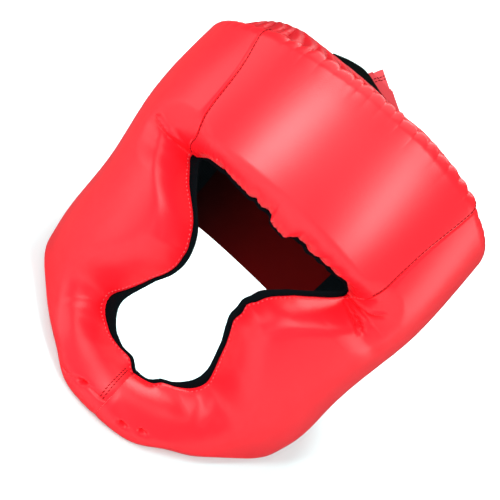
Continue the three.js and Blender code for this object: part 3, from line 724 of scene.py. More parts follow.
print("covers swell for", SWELL_FRAMES, "frames")

# %% [markdown]
# ## Gathers as Geometry Nodes
# Along the crown and the brow the leather is gathered on its seam, so it falls in small pleats that fade
# away from the seam. The same rule makes all of them: a row of cusps along the seam, uneven in width and
# strength, which can lean over or be pressed to one side like knife pleats. The points carry their run
# along the seam, their distance from it and the way out of the piece, and the tree moves them.

# %% Build the gathers tree
UNEVEN_SPAN, UNEVEN_SHIFT = 2.3, 1.1
CUSP_POWER, KNIFE_POWER = 0.7, 1.3
LEAST_STRENGTH = 0.35


def named(tree, name, kind):
    node = add_node(tree, "GeometryNodeInputNamedAttribute", {"Name": name}, data_type=kind)
    return node.outputs["Attribute"]


def close_tree(tree, geometry, finish, last):
    """Ends a tree with real geometry in one finish."""
    real = add_node(tree, "GeometryNodeRealizeInstances", {"Geometry": geometry}).outputs["Geometry"]
    painted = add_node(tree, "GeometryNodeSetMaterial", {"Geometry": real, "Material": finish})
    feed(tree, last, {"Geometry": painted.outputs["Geometry"]})


PLEATS = {"Pleat Width": 7.0, "Depth": 1.5, "Reach": 9.0, "Lean": 0.0, "Lift": 0.0, "Knife": 0.0}
gathers, given, finished = new_tree(
    "GeometryNodeTree", "gathers", {"Geometry": None, **PLEATS, "Seed": 0.0, "Finish": None}, ("Geometry",)
)
plus, less, times, over, power = maths(gathers, "ADD", "SUBTRACT", "MULTIPLY", "DIVIDE", "POWER")
sine, absolute, fraction, exponent = maths(gathers, "SINE", "ABSOLUTE", "FRACT", "EXPONENT")
run, away = named(gathers, "run", "FLOAT"), named(gathers, "away", "FLOAT")
width = given["Pleat Width"]
spot = add_node(gathers, "ShaderNodeCombineXYZ", {0: over(run, times(width, UNEVEN_SPAN)), 1: given["Seed"]})
noise = {"Vector": spot.outputs[0], "Scale": 1, "Detail": 1}
uneven = add_node(gathers, "ShaderNodeTexNoise", noise, noise_dimensions="2D").outputs["Fac"]
turns = over(plus(run, times(away, given["Lean"])), width)
turns = plus(turns, times(less(uneven, 0.5), UNEVEN_SHIFT))
cusp = less(1.0, power(absolute(sine(times(turns, math.pi))), CUSP_POWER))
knife = less(1.0, power(fraction(turns), KNIFE_POWER))
pleat = plus(cusp, times(less(knife, cusp), given["Knife"]))
strength = times(plus(uneven, LEAST_STRENGTH), given["Depth"])
fade = exponent(times(over(away, given["Reach"]), -1.0))
pull = times(times(times(less(pleat, given["Lift"]), strength), fade), -0.001)
offset = {0: named(gathers, "out", "FLOAT_VECTOR"), "Scale": pull}
offset = add_node(gathers, "ShaderNodeVectorMath", offset, operation="SCALE").outputs[0]
moved = {"Geometry": given["Geometry"], "Offset": offset}
moved = add_node(gathers, "GeometryNodeSetPosition", moved).outputs["Geometry"]
close_tree(gathers, moved, given["Finish"], finished)
print("gathers tree:", len(gathers.nodes), "nodes")

# %% [markdown]
# ## Running a tree on a piece
# The tree is put on the piece as a modifier, its inputs are set by name, and the result replaces the
# piece's mesh. Only the outer grid of a piece is gathered: the points of the inner grid are given a
# distance so large that the pleats have faded out. Near an edge the leather is drawn along the edge's own
# way, further off it only bulges.

# %% Define how a piece is gathered
FAR_AWAY = 1e4
PULL_OUT, PULL_EDGE = 0.5, 3


def apply_tree(piece, tree, values):
    """Runs a tree on a piece and keeps the result as its plain mesh."""
    modifier = piece.modifiers.new(tree.name, "NODES")
    modifier.node_group = tree
    for item in tree.interface.items_tree:
        if item.in_out == "INPUT" and item.name in values:
            modifier[item.identifier] = values[item.name]
    evaluated = piece.evaluated_get(bpy.context.evaluated_depsgraph_get())
    finished_mesh = bpy.data.meshes.new_from_object(evaluated)
    piece.modifiers.remove(modifier)
    old = piece.data
    piece.data = finished_mesh
    finished_mesh.name = piece.name
    bpy.data.meshes.remove(old)


def store(piece, name, kind, values):
    attribute = piece.data.attributes.new(name, kind, "POINT")
    field = "vector" if kind == "FLOAT_VECTOR" else "value"
    attribute.data.foreach_set(field, np.asarray(values, float).ravel())


def gather(piece, run, away, out, values):
    """Gathers the outer grid of a wall piece; its inner grid stays as it is."""
    rest = len(piece.data.vertices) - run.size
    store(piece, "run", "FLOAT", np.append(run.ravel(), np.zeros(rest)))
    store(piece, "away", "FLOAT", np.append(away.ravel(), np.full(rest, FAR_AWAY)))
    store(piece, "out", "FLOAT_VECTOR", np.append(out.reshape(-1, 3), np.zeros((rest, 3)), axis=0))
    apply_tree(piece, gathers, values)
    for name in ("run", "away", "out"):
        piece.data.attributes.remove(piece.data.attributes[name])


def edge_pull(out, away, way):
    """The way that leather moves near a gathered edge."""
    return out * PULL_OUT + np.asarray(way) * np.exp(-away / PULL_EDGE)[..., None]


def run_along(line):
    """Distance along a line of points."""
    return np.cumsum(np.linalg.norm(np.diff(line, axis=0, prepend=line[:1]), axis=-1))


print("edges are drawn over about", PULL_EDGE, "mm")

# %% [markdown]
# ## The sewn edge of the face opening
# Round the face the pad's edge isn't a smooth line: it is drawn in and let out by hand, differently on the
# two sides. One table gives, for each side, how far the edge reaches into the opening and how wide a lip
# of lining shows beside it. Its slow swing draws the pad along far in, and its small steps die out
# quickly.

# %% List the sewn edge
SEWN_EDGE = {
    "at": (
        0.33, 0.345, 0.37, 0.4, 0.43, 0.46, 0.5, 0.53, 0.56, 0.59, 0.62,
        0.65, 0.69, 0.75, 0.79, 0.83, 0.87, 0.89, 0.93, 0.97, 1.0,
    ),
    "left_reach": (
        -3, -1, 1.5, 4.5, 6.3, 5.8, 5.2, 4.3, 5.5, 3.6, 4.9,
        3.4, 2.2, 3.2, 2.7, 2.5, 4.5, 5, 2, -4, -4.5,
    ),
    "left_lip": (
        3.5, 5, 5.5, 5, 5, 5.2, 5.6, 5, 4, 4.6, 4,
        4.2, 3.2, 3.4, 5.2, 5.2, 3, 2.5, 2, 2.2, 2.6,
    ),
    "right_reach": (
        -1.5, -5.8, -4.3, -3.2, -1.2, 0, -0.2, -0.2, 0.7, 1.2, 2.7,
        3, 1.2, 0.2, -4, -6.5, -2.5, -1.5, -0.3, 0.7, -4.5,
    ),
    "right_lip": (
        5.5, 8.3, 7.3, 6.2, 4.4, 3.4, 3.8, 3.6, 3, 3.2, 2.6,
        2.5, 2.3, 4, 8, 10, 6, 5.5, 2.3, 1.8, 2.6,
    ),
}
SIDE_NAMES = {1: "left", -1: "right"}
SEWN_FADE = {"slow": 4, "quick": 30}
SEWN_SPAN = (-0.08, -0.04, 0, 0.04, 0.08)


def sewn(along, side, column):
    return read(SEWN_EDGE, "at", SIDE_NAMES[side] + "_" + column, along) * (along >= EYE_CORNER["at"])


def sewn_shift(along, across, side):
    """How far the sewn edge draws a place with it."""
    slow = sum(sewn(along + step, side, "reach") for step in SEWN_SPAN) / len(SEWN_SPAN)
    quick = sewn(along, side, "reach") - slow
    drawn = slow * (1 - across) ** SEWN_FADE["slow"] + quick * (1 - across) ** SEWN_FADE["quick"]
    return drawn / section_length(along)


print("sewn edge given at", len(SEWN_EDGE["at"]), "places a side")

# %% [markdown]
# ## Making the side pads
# The two pads mirror each other in their layout and differ in the tables above. First a coarse grid is
# blown up. Then a fine grid is moved by the folds and the swelling, and the crown edge is gathered. The
# half of the chin bar is too narrow to swell, so the swelling fades out before it.

# %% Make the side pads
SIDE_FINE = (340, 180)
SIDE_COARSE = (66, 40)
INNER_THIN = 4
SEAM_GAP = 0.05
FULL_PADDING, FOLD_PADDING, LEAST_PADDING = 28, 9, 2
DROOP_FROM = 0.5
CALM_FROM, CALM_FADE = 0.9, 0.1
ALONG_CROWDING = 0.3
RUN_APART = 500
CROWN_PLEATS = {"Pleat Width": 10.0, "Reach": 4.0, "Knife": 0.35, "Finish": RED_HIDE}


def side_grids(along, across, side, folded):
    padding = side_padding(along, across)
    azimuth, height = side_spot(along, across - sewn_shift(along, across, side))
    azimuth = azimuth + side * seam_swing(side * azimuth, height)
    height = height + crown_lift(side * azimuth, side_spot(0.0, across)[1] - height)
    padding = padding + fullness(side * azimuth, height) * np.minimum(padding / FULL_PADDING, 1)
    if folded:
        fold = fold_depth(side * azimuth, height) * np.minimum(padding / FOLD_PADDING, 1)
        padding = np.maximum(padding - fold, LEAST_PADDING)
    low = np.exp(-(((1 - across) * section_length(along) / RIM_DROOP["reach"]) ** 2)) * (along > DROOP_FROM)
    drop = read(RIM_DROOP, "azimuth", "drop", side * azimuth) * low * padding / FULL_PADDING
    outer = shell(azimuth, height, padding) - drop[..., None] * np.array([0, 0, 1])
    grids = outer, inner_face(azimuth, height)
    outer, inner = ((grid + np.array([SEAM_GAP / 2, 0, 0])) * (side, 1, 1) for grid in grids)
    return outer, inner, turned(outwards(azimuth, height) * (side, 1, 1))


def side_pad(name, side):
    along, across = (np.linspace(0, 1, steps + 1) for steps in SIDE_COARSE)
    outer, inner, _ = side_grids(along[:, None], across[None, :], side, folded=False)
    move = swell(name, lying(outer), lying(inner))
    move = move * np.clip((CALM_FROM - along) / CALM_FADE, 0, 1)[:, None, None]
    along, across = crowded(SIDE_FINE[0], ALONG_CROWDING), crowded(SIDE_FINE[1])
    outer, inner, out = side_grids(along[:, None], across[None, :], side, folded=True)
    move = refined(move, along, across)
    piece = wall_piece(
        name, flattened(lying(outer) + move), flattened(lying(inner)), RED_HIDE, thin=INNER_THIN
    )
    crown = np.linalg.norm(inner - inner[:1], axis=-1)
    run = np.broadcast_to(run_along(outer[0]), crown.shape) + RUN_APART * side
    pleats = {**CROWN_PLEATS, "Depth": 2.4, "Lift": 0.6, "Seed": 3.0 + side}
    gather(piece, run, crown, edge_pull(out, crown, (0, 0, 1)), pleats)
    print(name, len(piece.data.polygons), "faces")
    return piece


side_pads = {}
for side, word in SIDE_NAMES.items():
    side_pads["side_pad_" + word] = side_pad("side_pad_" + word, side)

# %% [markdown]
# ## The layout of the forehead pad
# The forehead is a broad cushion between the two temple seams. Its sides follow the side pads' own edges,
# so the pieces meet. Its places run from seam to seam and from the brow to the crown. The brow edge hangs
# in small scallops with one deeper dip near the middle, which a table gives by azimuth.

# %% Lay out the forehead pad
FOREHEAD = {"brow": 157.0, "crown": 249.0, "thickness": 28.0}
FOREHEAD_TALL = FOREHEAD["crown"] - FOREHEAD["brow"]
BROW_EDGE = {
    "azimuth": (
        -44, -39, -35.5, -31, -28, -25, -21, -17, -13.5, -12, -8, -6, -3, -1.5, 0, 3,
        6, 7.5, 9, 10.5, 13.5, 15, 18.5, 22, 25, 28, 30.5, 35, 38.5, 40, 44,
    ),
    "drop": (
        1.8, -1.6, -2, -1.8, -2.7, -1.3, -0.3, 0.4, 0.8, -0.6, 1.2, 0.2, 0.5, 3.5, 4.7, 5.2,
        5.5, 5, 2, 0, -0.5, -1.2, 0.5, -1.5, -1.2, -3, -2.2, -4, -4.2, -4.4, -2,
    ),
}
BROW_FADE = 5.5
FOREHEAD_FOLDS = 0.5


def forehead_spot(across, up):
    """across runs from seam to seam, -1 to 1; up from the brow to the crown, 0 to 1."""
    seam_azimuth, seam_height = side_spot(EYE_CORNER["at"] * (1 - up), np.zeros_like(up))
    middle = FOREHEAD["brow"] + (FOREHEAD["crown"] - FOREHEAD["brow"]) * up
    return across * seam_azimuth, middle + (seam_height - middle) * across**2


def forehead_padding(across, up):
    points = inner_face(*forehead_spot(across, up))
    brow = np.linalg.norm(points - points[:, :1], axis=-1)
    crown = np.linalg.norm(points - points[:, -1:], axis=-1)
    edges = np.where(across < 0, -1.0, 1.0)
    seam = np.linalg.norm(points - inner_face(*forehead_spot(edges, up)), axis=-1)
    share = edge_share(brow, BROW_SHARE, EDGE_ROUND["brow"])
    share = share * edge_share(crown, CROWN_EDGE, EDGE_ROUND["crown"])
    share = share * edge_share(seam, SEAM_SHARE, EDGE_ROUND["seam"])
    return FOREHEAD["thickness"] * share * corner_share(*forehead_spot(across, up))


def brow_drop(azimuth, up):
    """The uneven lower edge of the brow, fading upwards."""
    return read(BROW_EDGE, "azimuth", "drop", azimuth) * np.clip(1 - up * BROW_FADE, 0, 1) ** 2


def forehead_grids(across, up):
    azimuth, height = forehead_spot(across, up)
    padding = forehead_padding(across, up)
    azimuth = azimuth + seam_swing(azimuth, height)
    padding = padding - fold_depth(azimuth, height) * FOREHEAD_FOLDS
    height = height - brow_drop(azimuth, up) + crown_lift(azimuth, (1 - up) * FOREHEAD_TALL)
    return shell(azimuth, height, padding), inner_face(azimuth, height)


print("brow edge given at", len(BROW_EDGE["drop"]), "places")

# %% [markdown]
# ## Making the forehead pad
# It is made as the side pads are: a coarse grid swells, a fine grid takes up the swelling, and the edges
# are gathered. Here two edges are, one after the other: the crown in wide pleats and the brow in narrow
# ones.

# %% Make the forehead pad
FOREHEAD_FINE = (320, 150)
FOREHEAD_COARSE = (52, 30)
SEAM_INSET = 1 - 0.2 / 90
RUN_PER_DEGREE = 1.75
BROW_PLEATS = {"Pleat Width": 5.5, "Depth": 1.5, "Reach": 3.5, "Seed": 12.0, "Finish": RED_HIDE}


def seam_to_seam(steps):
    return np.linspace(-SEAM_INSET, SEAM_INSET, steps + 1)[:, None]


up = np.linspace(0, 1, FOREHEAD_COARSE[1] + 1)[None, :]
outer, inner = forehead_grids(seam_to_seam(FOREHEAD_COARSE[0]), up)
move = swell("forehead_pad", lying(outer), lying(inner))
across, up = seam_to_seam(FOREHEAD_FINE[0]), crowded(FOREHEAD_FINE[1])[None, :]
outer, inner = forehead_grids(across, up)
move = refined(move, np.linspace(0, 1, len(across)), up[0])
forehead_pad = wall_piece("forehead_pad", lying(outer) + move, lying(inner), RED_HIDE, thin=INNER_THIN)
azimuth, height = forehead_spot(across, up)
run = np.broadcast_to(azimuth[:, -1:] * RUN_PER_DEGREE, azimuth.shape)
out = turned(outwards(azimuth, height))
crown = np.linalg.norm(inner - inner[:, -1:], axis=-1)
pleats = {**CROWN_PLEATS, "Depth": 3.0, "Lift": 1.0, "Seed": 8.0}
gather(forehead_pad, run, crown, edge_pull(out, crown, (0, 0, 1)), pleats)
brow = np.linalg.norm(inner - inner[:, :1], axis=-1)
gather(forehead_pad, run, brow, edge_pull(out, brow, turned((0, 0, -1))), BROW_PLEATS)
print("forehead_pad", len(forehead_pad.data.polygons), "faces")

# %% [markdown]
# ## The lining
# Black cloth lines the pads. It reaches a few millimetres past the red edge into the face opening, where
# it shows as a dark rim. It could be a copy of the pads' inner grid, but the rim needs its own uneven
# width, so it gets its own grid. Its edge is rounded by thinning the wall towards it.

# %% Make the linings
LINING = {"gap": 0.6, "thickness": 2.4, "round": 2.0, "thinnest": 0.02}
LINING_INSET = {"crown": 2.0, "rim": 7.0, "rear": 1.0}
LINING_LOW, LINING_LOW_FADE = 0.5, 0.12
REAR_RISE = {"rise": 11.0, "azimuth": 95, "fade": 30, "crown_fade": 0.05}
PAD_LENGTH = 270
BROW_LIP, BROW_LIP_POWER, BROW_LIP_DROP = 2.6, 8, 0.8
SIDE_LINING_FINE = (259, 60)
BROW_LINING_FINE = (160, 48)


def lining_piece(name, azimuth, height, from_edge, side=1):
    thick = LINING["thickness"] * np.sqrt(np.clip(from_edge / LINING["round"], LINING["thinnest"], 1))
    middle = -LINING["gap"] - LINING["thickness"] / 2
    outer, inner = (shell(azimuth, height, middle + way * thick / 2) * (side, 1, 1) for way in (1, -1))
    return wall_piece(name, lying(outer), lying(inner), BLACK_LINING)


def side_lining(name, side):
    along = np.linspace(LINING_INSET["crown"] / PAD_LENGTH, 1, SIDE_LINING_FINE[0] + 1)[:, None]
    length = section_length(along)
    start = -(sewn(along, side, "reach") + sewn(along, side, "lip")) / length
    low = np.clip((along - LINING_LOW) / LINING_LOW_FADE, 0, 1)
    end = LINING_INSET["rear"] + (LINING_INSET["rim"] - LINING_INSET["rear"]) * low
    across = start + (1 - end / length - start) * crowded(SIDE_LINING_FINE[1])[None, :]
    azimuth, height = side_spot(along, across)
    behind = np.clip((azimuth - REAR_RISE["azimuth"]) / REAR_RISE["fade"], 0, 1)
    height = height + REAR_RISE["rise"] * behind * np.clip(1 - along / REAR_RISE["crown_fade"], 0, 1)
    return lining_piece(name, azimuth, height, (across - start) * length, side)


side_linings = {}
for side, word in SIDE_NAMES.items():
    side_linings["side_lining_" + word] = side_lining("side_lining_" + word, side)

across = seam_to_seam(BROW_LINING_FINE[0])
start = -BROW_LIP * (1 - across**BROW_LIP_POWER) / FOREHEAD_TALL
end = 1 - LINING_INSET["crown"] / FOREHEAD_TALL
up = start + (end - start) * np.linspace(0, 1, BROW_LINING_FINE[1] + 1)[None, :]
azimuth, height = forehead_spot(across, np.clip(up, 0, 1))
drop = brow_drop(azimuth, np.clip(up, 0, 1)) * BROW_LIP_DROP
height = height + np.minimum(up, 0) * FOREHEAD_TALL - drop
forehead_lining = lining_piece("forehead_lining", azimuth, height, (up - start) * FOREHEAD_TALL)
print("linings:", ", ".join(side_linings), "forehead_lining")

# %% [markdown]
# ## The crown hem
# Round the open crown the leather is drawn over the tops of the pads and gathered hard. The hem starts as
# a smooth sloping band, higher near one temple, and the gathers tree pleats it with a lean, as a drawn
# seam does. The pleats are strongest at the outer edge and fade towards the opening.

# %% Make the crown hem
REAR_AZIMUTH = 148
GAP = 0.35
HEM = {"outer": 17.0, "inner": 1.5, "outer_rise": 0.4, "top_rise": 1.5, "curve": 1.6}
HEM_RISE = {
    "azimuth": (-148, -120, -80, -66, -58, -50, -44, -38, -28, 0, 28, 40, 50, 62, 80, 120, 148),
    "rise": (7, 8.5, 14, 17.5, 17, 15.3, 13.2, 11.3, 8.6, 4.8, 5.2, 6, 7, 7, 6, 6.5, 7),
}
HEM_FINE = (900, 16)
HEM_FADE, HEM_FADE_POWER = 16, 3
HEM_PLEATS = {"Pleat Width": 10.0, "Depth": 5.5, "Reach": 9.0, "Lean": 1.6, "Lift": 0.4, "Knife": 0.5}


def crown_height(azimuth):
    """Height of the pads' crown edge, round from one rear edge to the other."""
    turn = np.abs(azimuth)
    seam = SIDE["face_azimuth"][0]
    front = FOREHEAD["crown"] + (SIDE["face_height"][0] - FOREHEAD["crown"]) * (turn / seam) ** 2
    across = np.clip((turn - seam) / (REAR_AZIMUTH - seam), 0, 1)
    return np.where(turn < seam, front, side_spot(np.zeros_like(across), across)[1])


azimuth = np.linspace(-REAR_AZIMUTH, REAR_AZIMUTH, HEM_FINE[0] + 1)[:, None]
inwards = np.linspace(0, 1, HEM_FINE[1] + 1)[None, :]
base = crown_height(azimuth) + crown_lift(azimuth, 0)
top_rise = read(HEM_RISE, "azimuth", "rise", azimuth) + HEM["top_rise"]
rise = HEM["outer_rise"] + (top_rise - HEM["outer_rise"]) * np.sin(inwards * math.pi / 2) ** HEM["curve"]
reach = HEM["outer"] + (HEM["inner"] - HEM["outer"]) * inwards
outer, inner = shell(azimuth, base + GAP + rise, reach), shell(azimuth, base + GAP, reach)
# the hem's darker finish is painted shade for the shade between the pleats
crown_hem = wall_piece("crown_hem", lying(outer), lying(inner), HEM_HIDE_PAINTED_SHADE)
run = np.broadcast_to(run_along(outer[:, HEM_FINE[1] // 2])[:, None], rise.shape)
out = np.cross(np.gradient(outer, axis=0), np.gradient(outer, axis=1))
out = out / np.linalg.norm(out, axis=-1, keepdims=True)
out = out * np.sign((out * outwards(azimuth, base)).sum(-1, keepdims=True) + out[..., 2:])
away = np.broadcast_to(HEM_FADE * inwards**HEM_FADE_POWER, rise.shape)
gather(crown_hem, run, away, turned(out), {**HEM_PLEATS, "Seed": 21.0, "Finish": HEM_HIDE_PAINTED_SHADE})
print("crown_hem", len(crown_hem.data.polygons), "faces")

# %% [markdown]
# ## The back
# A thin padded panel closes the back above the neck. A black loop band is sewn inside its top edge, and
# the closing strap is sewn outside it. The strap slopes down from its free end, which is folded over, so
# it is almost two layers thick there. All three are walls that follow the inner face, so they are bent
# like the head.

# %% Make the back panel and the loop band
BACK = {"low": 102.5, "thickness": 8.0, "edge": 0.75, "round": 9.0, "radius": 108}
BACK_FINE, LOOP_FINE = (110, 90), (80, 24)
LOOP = {"half_span": 31.0, "low": 222.0, "thickness": 2.2}
LOOP_TOP = {"azimuth": (149, 160, 182, 195, 203, 211), "height": (256, 258.5, 259, 263.5, 261.5, 257)}

top = float(crown_height(np.array(float(REAR_AZIMUTH))))
start = REAR_AZIMUTH + math.degrees(GAP / BACK["radius"])
azimuth = start + (360 - 2 * start) * crowded(BACK_FINE[0])[:, None]
height = BACK["low"] + (top - BACK["low"]) * crowded(BACK_FINE[1])[None, :]
from_ends = np.radians(np.minimum(azimuth - start, 360 - start - azimuth)) * BACK["radius"]
from_edges = np.minimum(height - BACK["low"], top - height)
share = edge_share(np.minimum(from_ends, from_edges), BACK["edge"], BACK["round"])
outer, inner = shell(azimuth, height, BACK["thickness"] * share), inner_face(azimuth, height)
# the inner face takes the dark backing, whose colour is partly painted shade
back_panel = wall_piece("back_panel", lying(outer), lying(inner), RED_HIDE, DARK_HIDE_PAINTED_SHADE)

azimuth = 180 + LOOP["half_span"] * np.linspace(-1, 1, LOOP_FINE[0] + 1)[:, None]
tall = read(LOOP_TOP, "azimuth", "height", azimuth) - LOOP["low"]
height = LOOP["low"] + tall * np.linspace(0, 1, LOOP_FINE[1] + 1)[None, :]
outer, inner = shell(azimuth, height, -GAP), shell(azimuth, height, -GAP - LOOP["thickness"])
loop_band = wall_piece("loop_band", lying(outer), lying(inner), BLACK_LOOP)
print("back panel up to", round(top, 1), "mm, loop band up to", max(LOOP_TOP["height"]), "mm")

# %% Make the strap
STRAP = {"width": 22.0, "thickness": 2.2, "azimuth": 192.2, "height": 262.7, "length": 90.0, "reach": 113.0}
STRAP_SLOPE = math.radians(25.5)
STRAP_FOLD = {"length": 11, "extra": 0.7, "step": 0.8}
STRAP_EDGE = {"power": 12, "thinnest": 0.1}
STRAP_FINE = (110, 24)

along = np.linspace(1, 0, STRAP_FINE[0] + 1)[:, None]
width = np.linspace(-0.5, 0.5, STRAP_FINE[1] + 1)[None, :]
back, aside = STRAP["length"] * along, STRAP["width"] * width
sideways = back * math.cos(STRAP_SLOPE) + aside * math.sin(STRAP_SLOPE)
azimuth = STRAP["azimuth"] - np.degrees(sideways / STRAP["reach"])
height = STRAP["height"] - back * math.sin(STRAP_SLOPE) + aside * math.cos(STRAP_SLOPE)
edge = np.sqrt(np.clip(1 - (2 * np.abs(width)) ** STRAP_EDGE["power"], STRAP_EDGE["thinnest"], 1))
folded = 1 + STRAP_FOLD["extra"] * np.clip((STRAP_FOLD["length"] - back) / STRAP_FOLD["step"], 0, 1)
below = BACK["thickness"] + GAP
outer = shell(azimuth, height, below + STRAP["thickness"] * folded * edge)
crown_strap = wall_piece("crown_strap", lying(outer), lying(shell(azimuth, height, below)), STRAP_HIDE)
print("strap:", STRAP["length"], "by", STRAP["width"], "mm")

# %% [markdown]
# ## Stitches
# Stitches repeat along a line, so Geometry Nodes lay them: a line of points becomes a curve, the curve is
# cut into even steps, and a small thread is set on each step. Every point carries the direction of its
# stitch and the way out of the leather, so one tree sews along a seam or across a strap.

# %% Build the stitching tree
BEAD = {"Segments": 8, "Rings": 5, "Radius": 0.5}

stitching, given, finished = new_tree(
    "GeometryNodeTree",
    "stitching",
    {"Geometry": None, "Pitch": 0.003, "Length": 0.0022, "Thread": 0.0006, "Finish": None},
    ("Geometry",),
)
line = add_node(stitching, "GeometryNodeMeshToCurve", {"Mesh": given["Geometry"]}).outputs["Curve"]
steps = {"Curve": line, "Length": given["Pitch"]}
steps = add_node(stitching, "GeometryNodeResampleCurve", steps, mode="LENGTH").outputs["Curve"]
size = {0: given["Length"], 1: given["Thread"], 2: given["Thread"]}
size = add_node(stitching, "ShaderNodeCombineXYZ", size).outputs[0]
turn = {"Vector": named(stitching, "along", "FLOAT_VECTOR")}
turn = add_node(stitching, "FunctionNodeAlignRotationToVector", turn, axis="X").outputs["Rotation"]
turn = {"Rotation": turn, "Vector": named(stitching, "out", "FLOAT_VECTOR")}
turn = add_node(stitching, "FunctionNodeAlignRotationToVector", turn, axis="Z", pivot_axis="X")
bead = add_node(stitching, "GeometryNodeMeshUVSphere", BEAD).outputs["Mesh"]
sew = {"Points": steps, "Instance": bead, "Scale": size, "Rotation": turn.outputs["Rotation"]}
sew = add_node(stitching, "GeometryNodeInstanceOnPoints", sew).outputs["Instances"]
close_tree(stitching, sew, given["Finish"], finished)
print("stitching tree:", len(stitching.nodes), "nodes")

# %% [markdown]
# ## Sewing along the grids
# The lines of stitches follow lines of the pieces' own grids, after they have been swollen and gathered,
# so they lie on the leather whatever it does. Two temple seams, a double row beside the chin seam, the
# edge of the face opening and a double row across the strap's end are sewn.

# %% Find the lines to sew
THREAD = 0.0008


def grid_row(piece, shape, pick, inside=False):
    """Points, direction and way out along one line of a wall piece's outer or inner grid."""
    count = shape[0] * shape[1]
    points = coordinates(piece.data)[inside * count : (1 + inside) * count].reshape(*shape, 3)
    normal = np.cross(np.gradient(points, axis=0), np.gradient(points, axis=1))
    normal /= np.linalg.norm(normal, axis=-1, keepdims=True) + 1e-12
    centre = points.mean((0, 1)) * (0, 1, 1)
    normal *= np.sign(((points - centre) * normal).sum(-1)).mean().round() or 1
    row, out = points[pick], normal[pick]
    return row, np.gradient(row, axis=0), out


def slanted_row(piece, shape, start, end, columns):
    """A line that crosses over from one grid line to another."""
    first_row, last_row = (grid_row(piece, shape, (k, columns)) for k in (start, end))
    share = np.linspace(0, 1, len(first_row[0]))[:, None]
    return tuple(near * (1 - share) + far * share for near, far in zip(first_row, last_row))


def stitched(name, rows, pitch, length, finish):
    """Sews along rows, each with its points, the stitches' direction and the way out of the leather."""
    points, along, out = (np.concatenate(column) for column in zip(*rows))
    edges, first = [], 0
    for row in rows:
        edges += [(first + k, first + k + 1) for k in range(len(row[0]) - 1)]
        first += len(row[0])
    mesh = bpy.data.meshes.new(name)
    mesh.from_pydata(points.tolist(), edges, [])
    piece = placed(name, mesh)
    store(piece, "along", "FLOAT_VECTOR", along)
    store(piece, "out", "FLOAT_VECTOR", out)
    apply_tree(piece, stitching, {"Pitch": pitch, "Length": length, "Thread": THREAD, "Finish": finish})
    print(name, len(piece.data.polygons), "faces")
    return piece


print("thread", THREAD * 1000, "mm thick")

# %% Sew the seams
SEAM_LINES = ((2, slice(3, -3)), (-3, slice(34, -3)))
CHIN_LINES, CHIN_COLUMNS = ((-7, -3), (-5, -2)), slice(24, 93)
EDGE_FROM, EDGE_TO = int(SIDE_FINE[0] * EYE_CORNER["at"]) + 6, -2
STRAP_LINES = (4.5, 7.5)

forehead_shape, side_shape, strap_shape = (
    (down + 1, over + 1) for down, over in (FOREHEAD_FINE, SIDE_FINE, STRAP_FINE)
)
seam_rows = [grid_row(forehead_pad, forehead_shape, line) for line in SEAM_LINES]
right_pad = side_pads["side_pad_right"]
chin_rows = [slanted_row(right_pad, side_shape, *line, CHIN_COLUMNS) for line in CHIN_LINES]
edge_rows = [grid_row(pad, side_shape, (slice(EDGE_FROM, EDGE_TO), 0)) for pad in side_pads.values()]
strap_steps = [round(STRAP_FINE[0] - at * STRAP_FINE[0] / STRAP["length"]) for at in STRAP_LINES]
strap_rows = [
    grid_row(crown_strap, strap_shape, (step, slice(1, -1)), inside)
    for step in strap_steps
    for inside in (False, True)
]
stitches = [
    stitched("seam_stitches", seam_rows, 0.0028, 0.0028, RED_THREAD),
    stitched("chin_stitches", chin_rows, 0.0026, 0.0026, RED_THREAD),
    stitched("edge_stitches", edge_rows, 0.0028, 0.0014, EDGE_THREAD),
    stitched("strap_stitches", strap_rows, 0.0024, 0.002, RED_THREAD),
]

# %% [markdown]
# ## The floor and the surround
# A wide pale floor and an even white surround give the high key of a catalogue picture. Red light thrown
# back by the pads would turn the shadow beside them pink, so the floor reflects a little less red near the
# guard. It glows faintly, which lifts the shadow. The surround is held back in reflections, so that the
# lamps alone make the sheen.

# %% Set the floor and the surround
FLOOR = {"half": 6, "drop": 0.0003, "roughness": 0.8}
FLOOR_NEAR, FLOOR_FAR = (0.59, 0.84, 0.84), (0.84, 0.84, 0.84)
FLOOR_FADE = (0.3, 0.9)
FLOOR_LOOK = {"Specular IOR Level": 0.1, "Emission Color": (1, 1, 1, 1), "Emission Strength": 0.24}
SURROUND, SURROUND_IN_GLOSS = 0.31, 0.12

floor_mesh = bpy.data.meshes.new("floor")
half, low = FLOOR["half"], -FLOOR["drop"]
corners = [(-half, -half, low), (half, -half, low), (half, half, low), (-half, half, low)]
floor_mesh.from_pydata(corners, [], [(0, 1, 2, 3)])
floor = placed("floor", floor_mesh)
floor_finish, tree, shader = new_finish("pale_floor", FLOOR_FAR, FLOOR["roughness"], FLOOR_LOOK)
place = add_node(tree, "ShaderNodeTexCoord").outputs["Object"]
away = add_node(tree, "ShaderNodeVectorMath", {0: place}, operation="LENGTH").outputs["Value"]
colour = mixed(tree, faded(tree, away, *FLOOR_FADE), (*FLOOR_NEAR, 1), (*FLOOR_FAR, 1))
feed(tree, shader, {"Base Color": colour})
floor_mesh.materials.append(floor_finish)
floor.visible_glossy = False

world = bpy.data.worlds.new("surround")
world.use_nodes = True
tree = world.node_tree
ray = add_node(tree, "ShaderNodeLightPath").outputs["Is Glossy Ray"]
less, times = maths(tree, "SUBTRACT", "MULTIPLY")
strength = less(SURROUND, times(ray, SURROUND - SURROUND_IN_GLOSS))
feed(tree, tree.nodes["Background"], {"Color": (1, 1, 1, 1), "Strength": strength})
bpy.context.scene.world = world
bpy.context.scene.view_settings.view_transform = "Standard"
print("floor", 2 * FLOOR["half"], "m wide, surround", SURROUND)

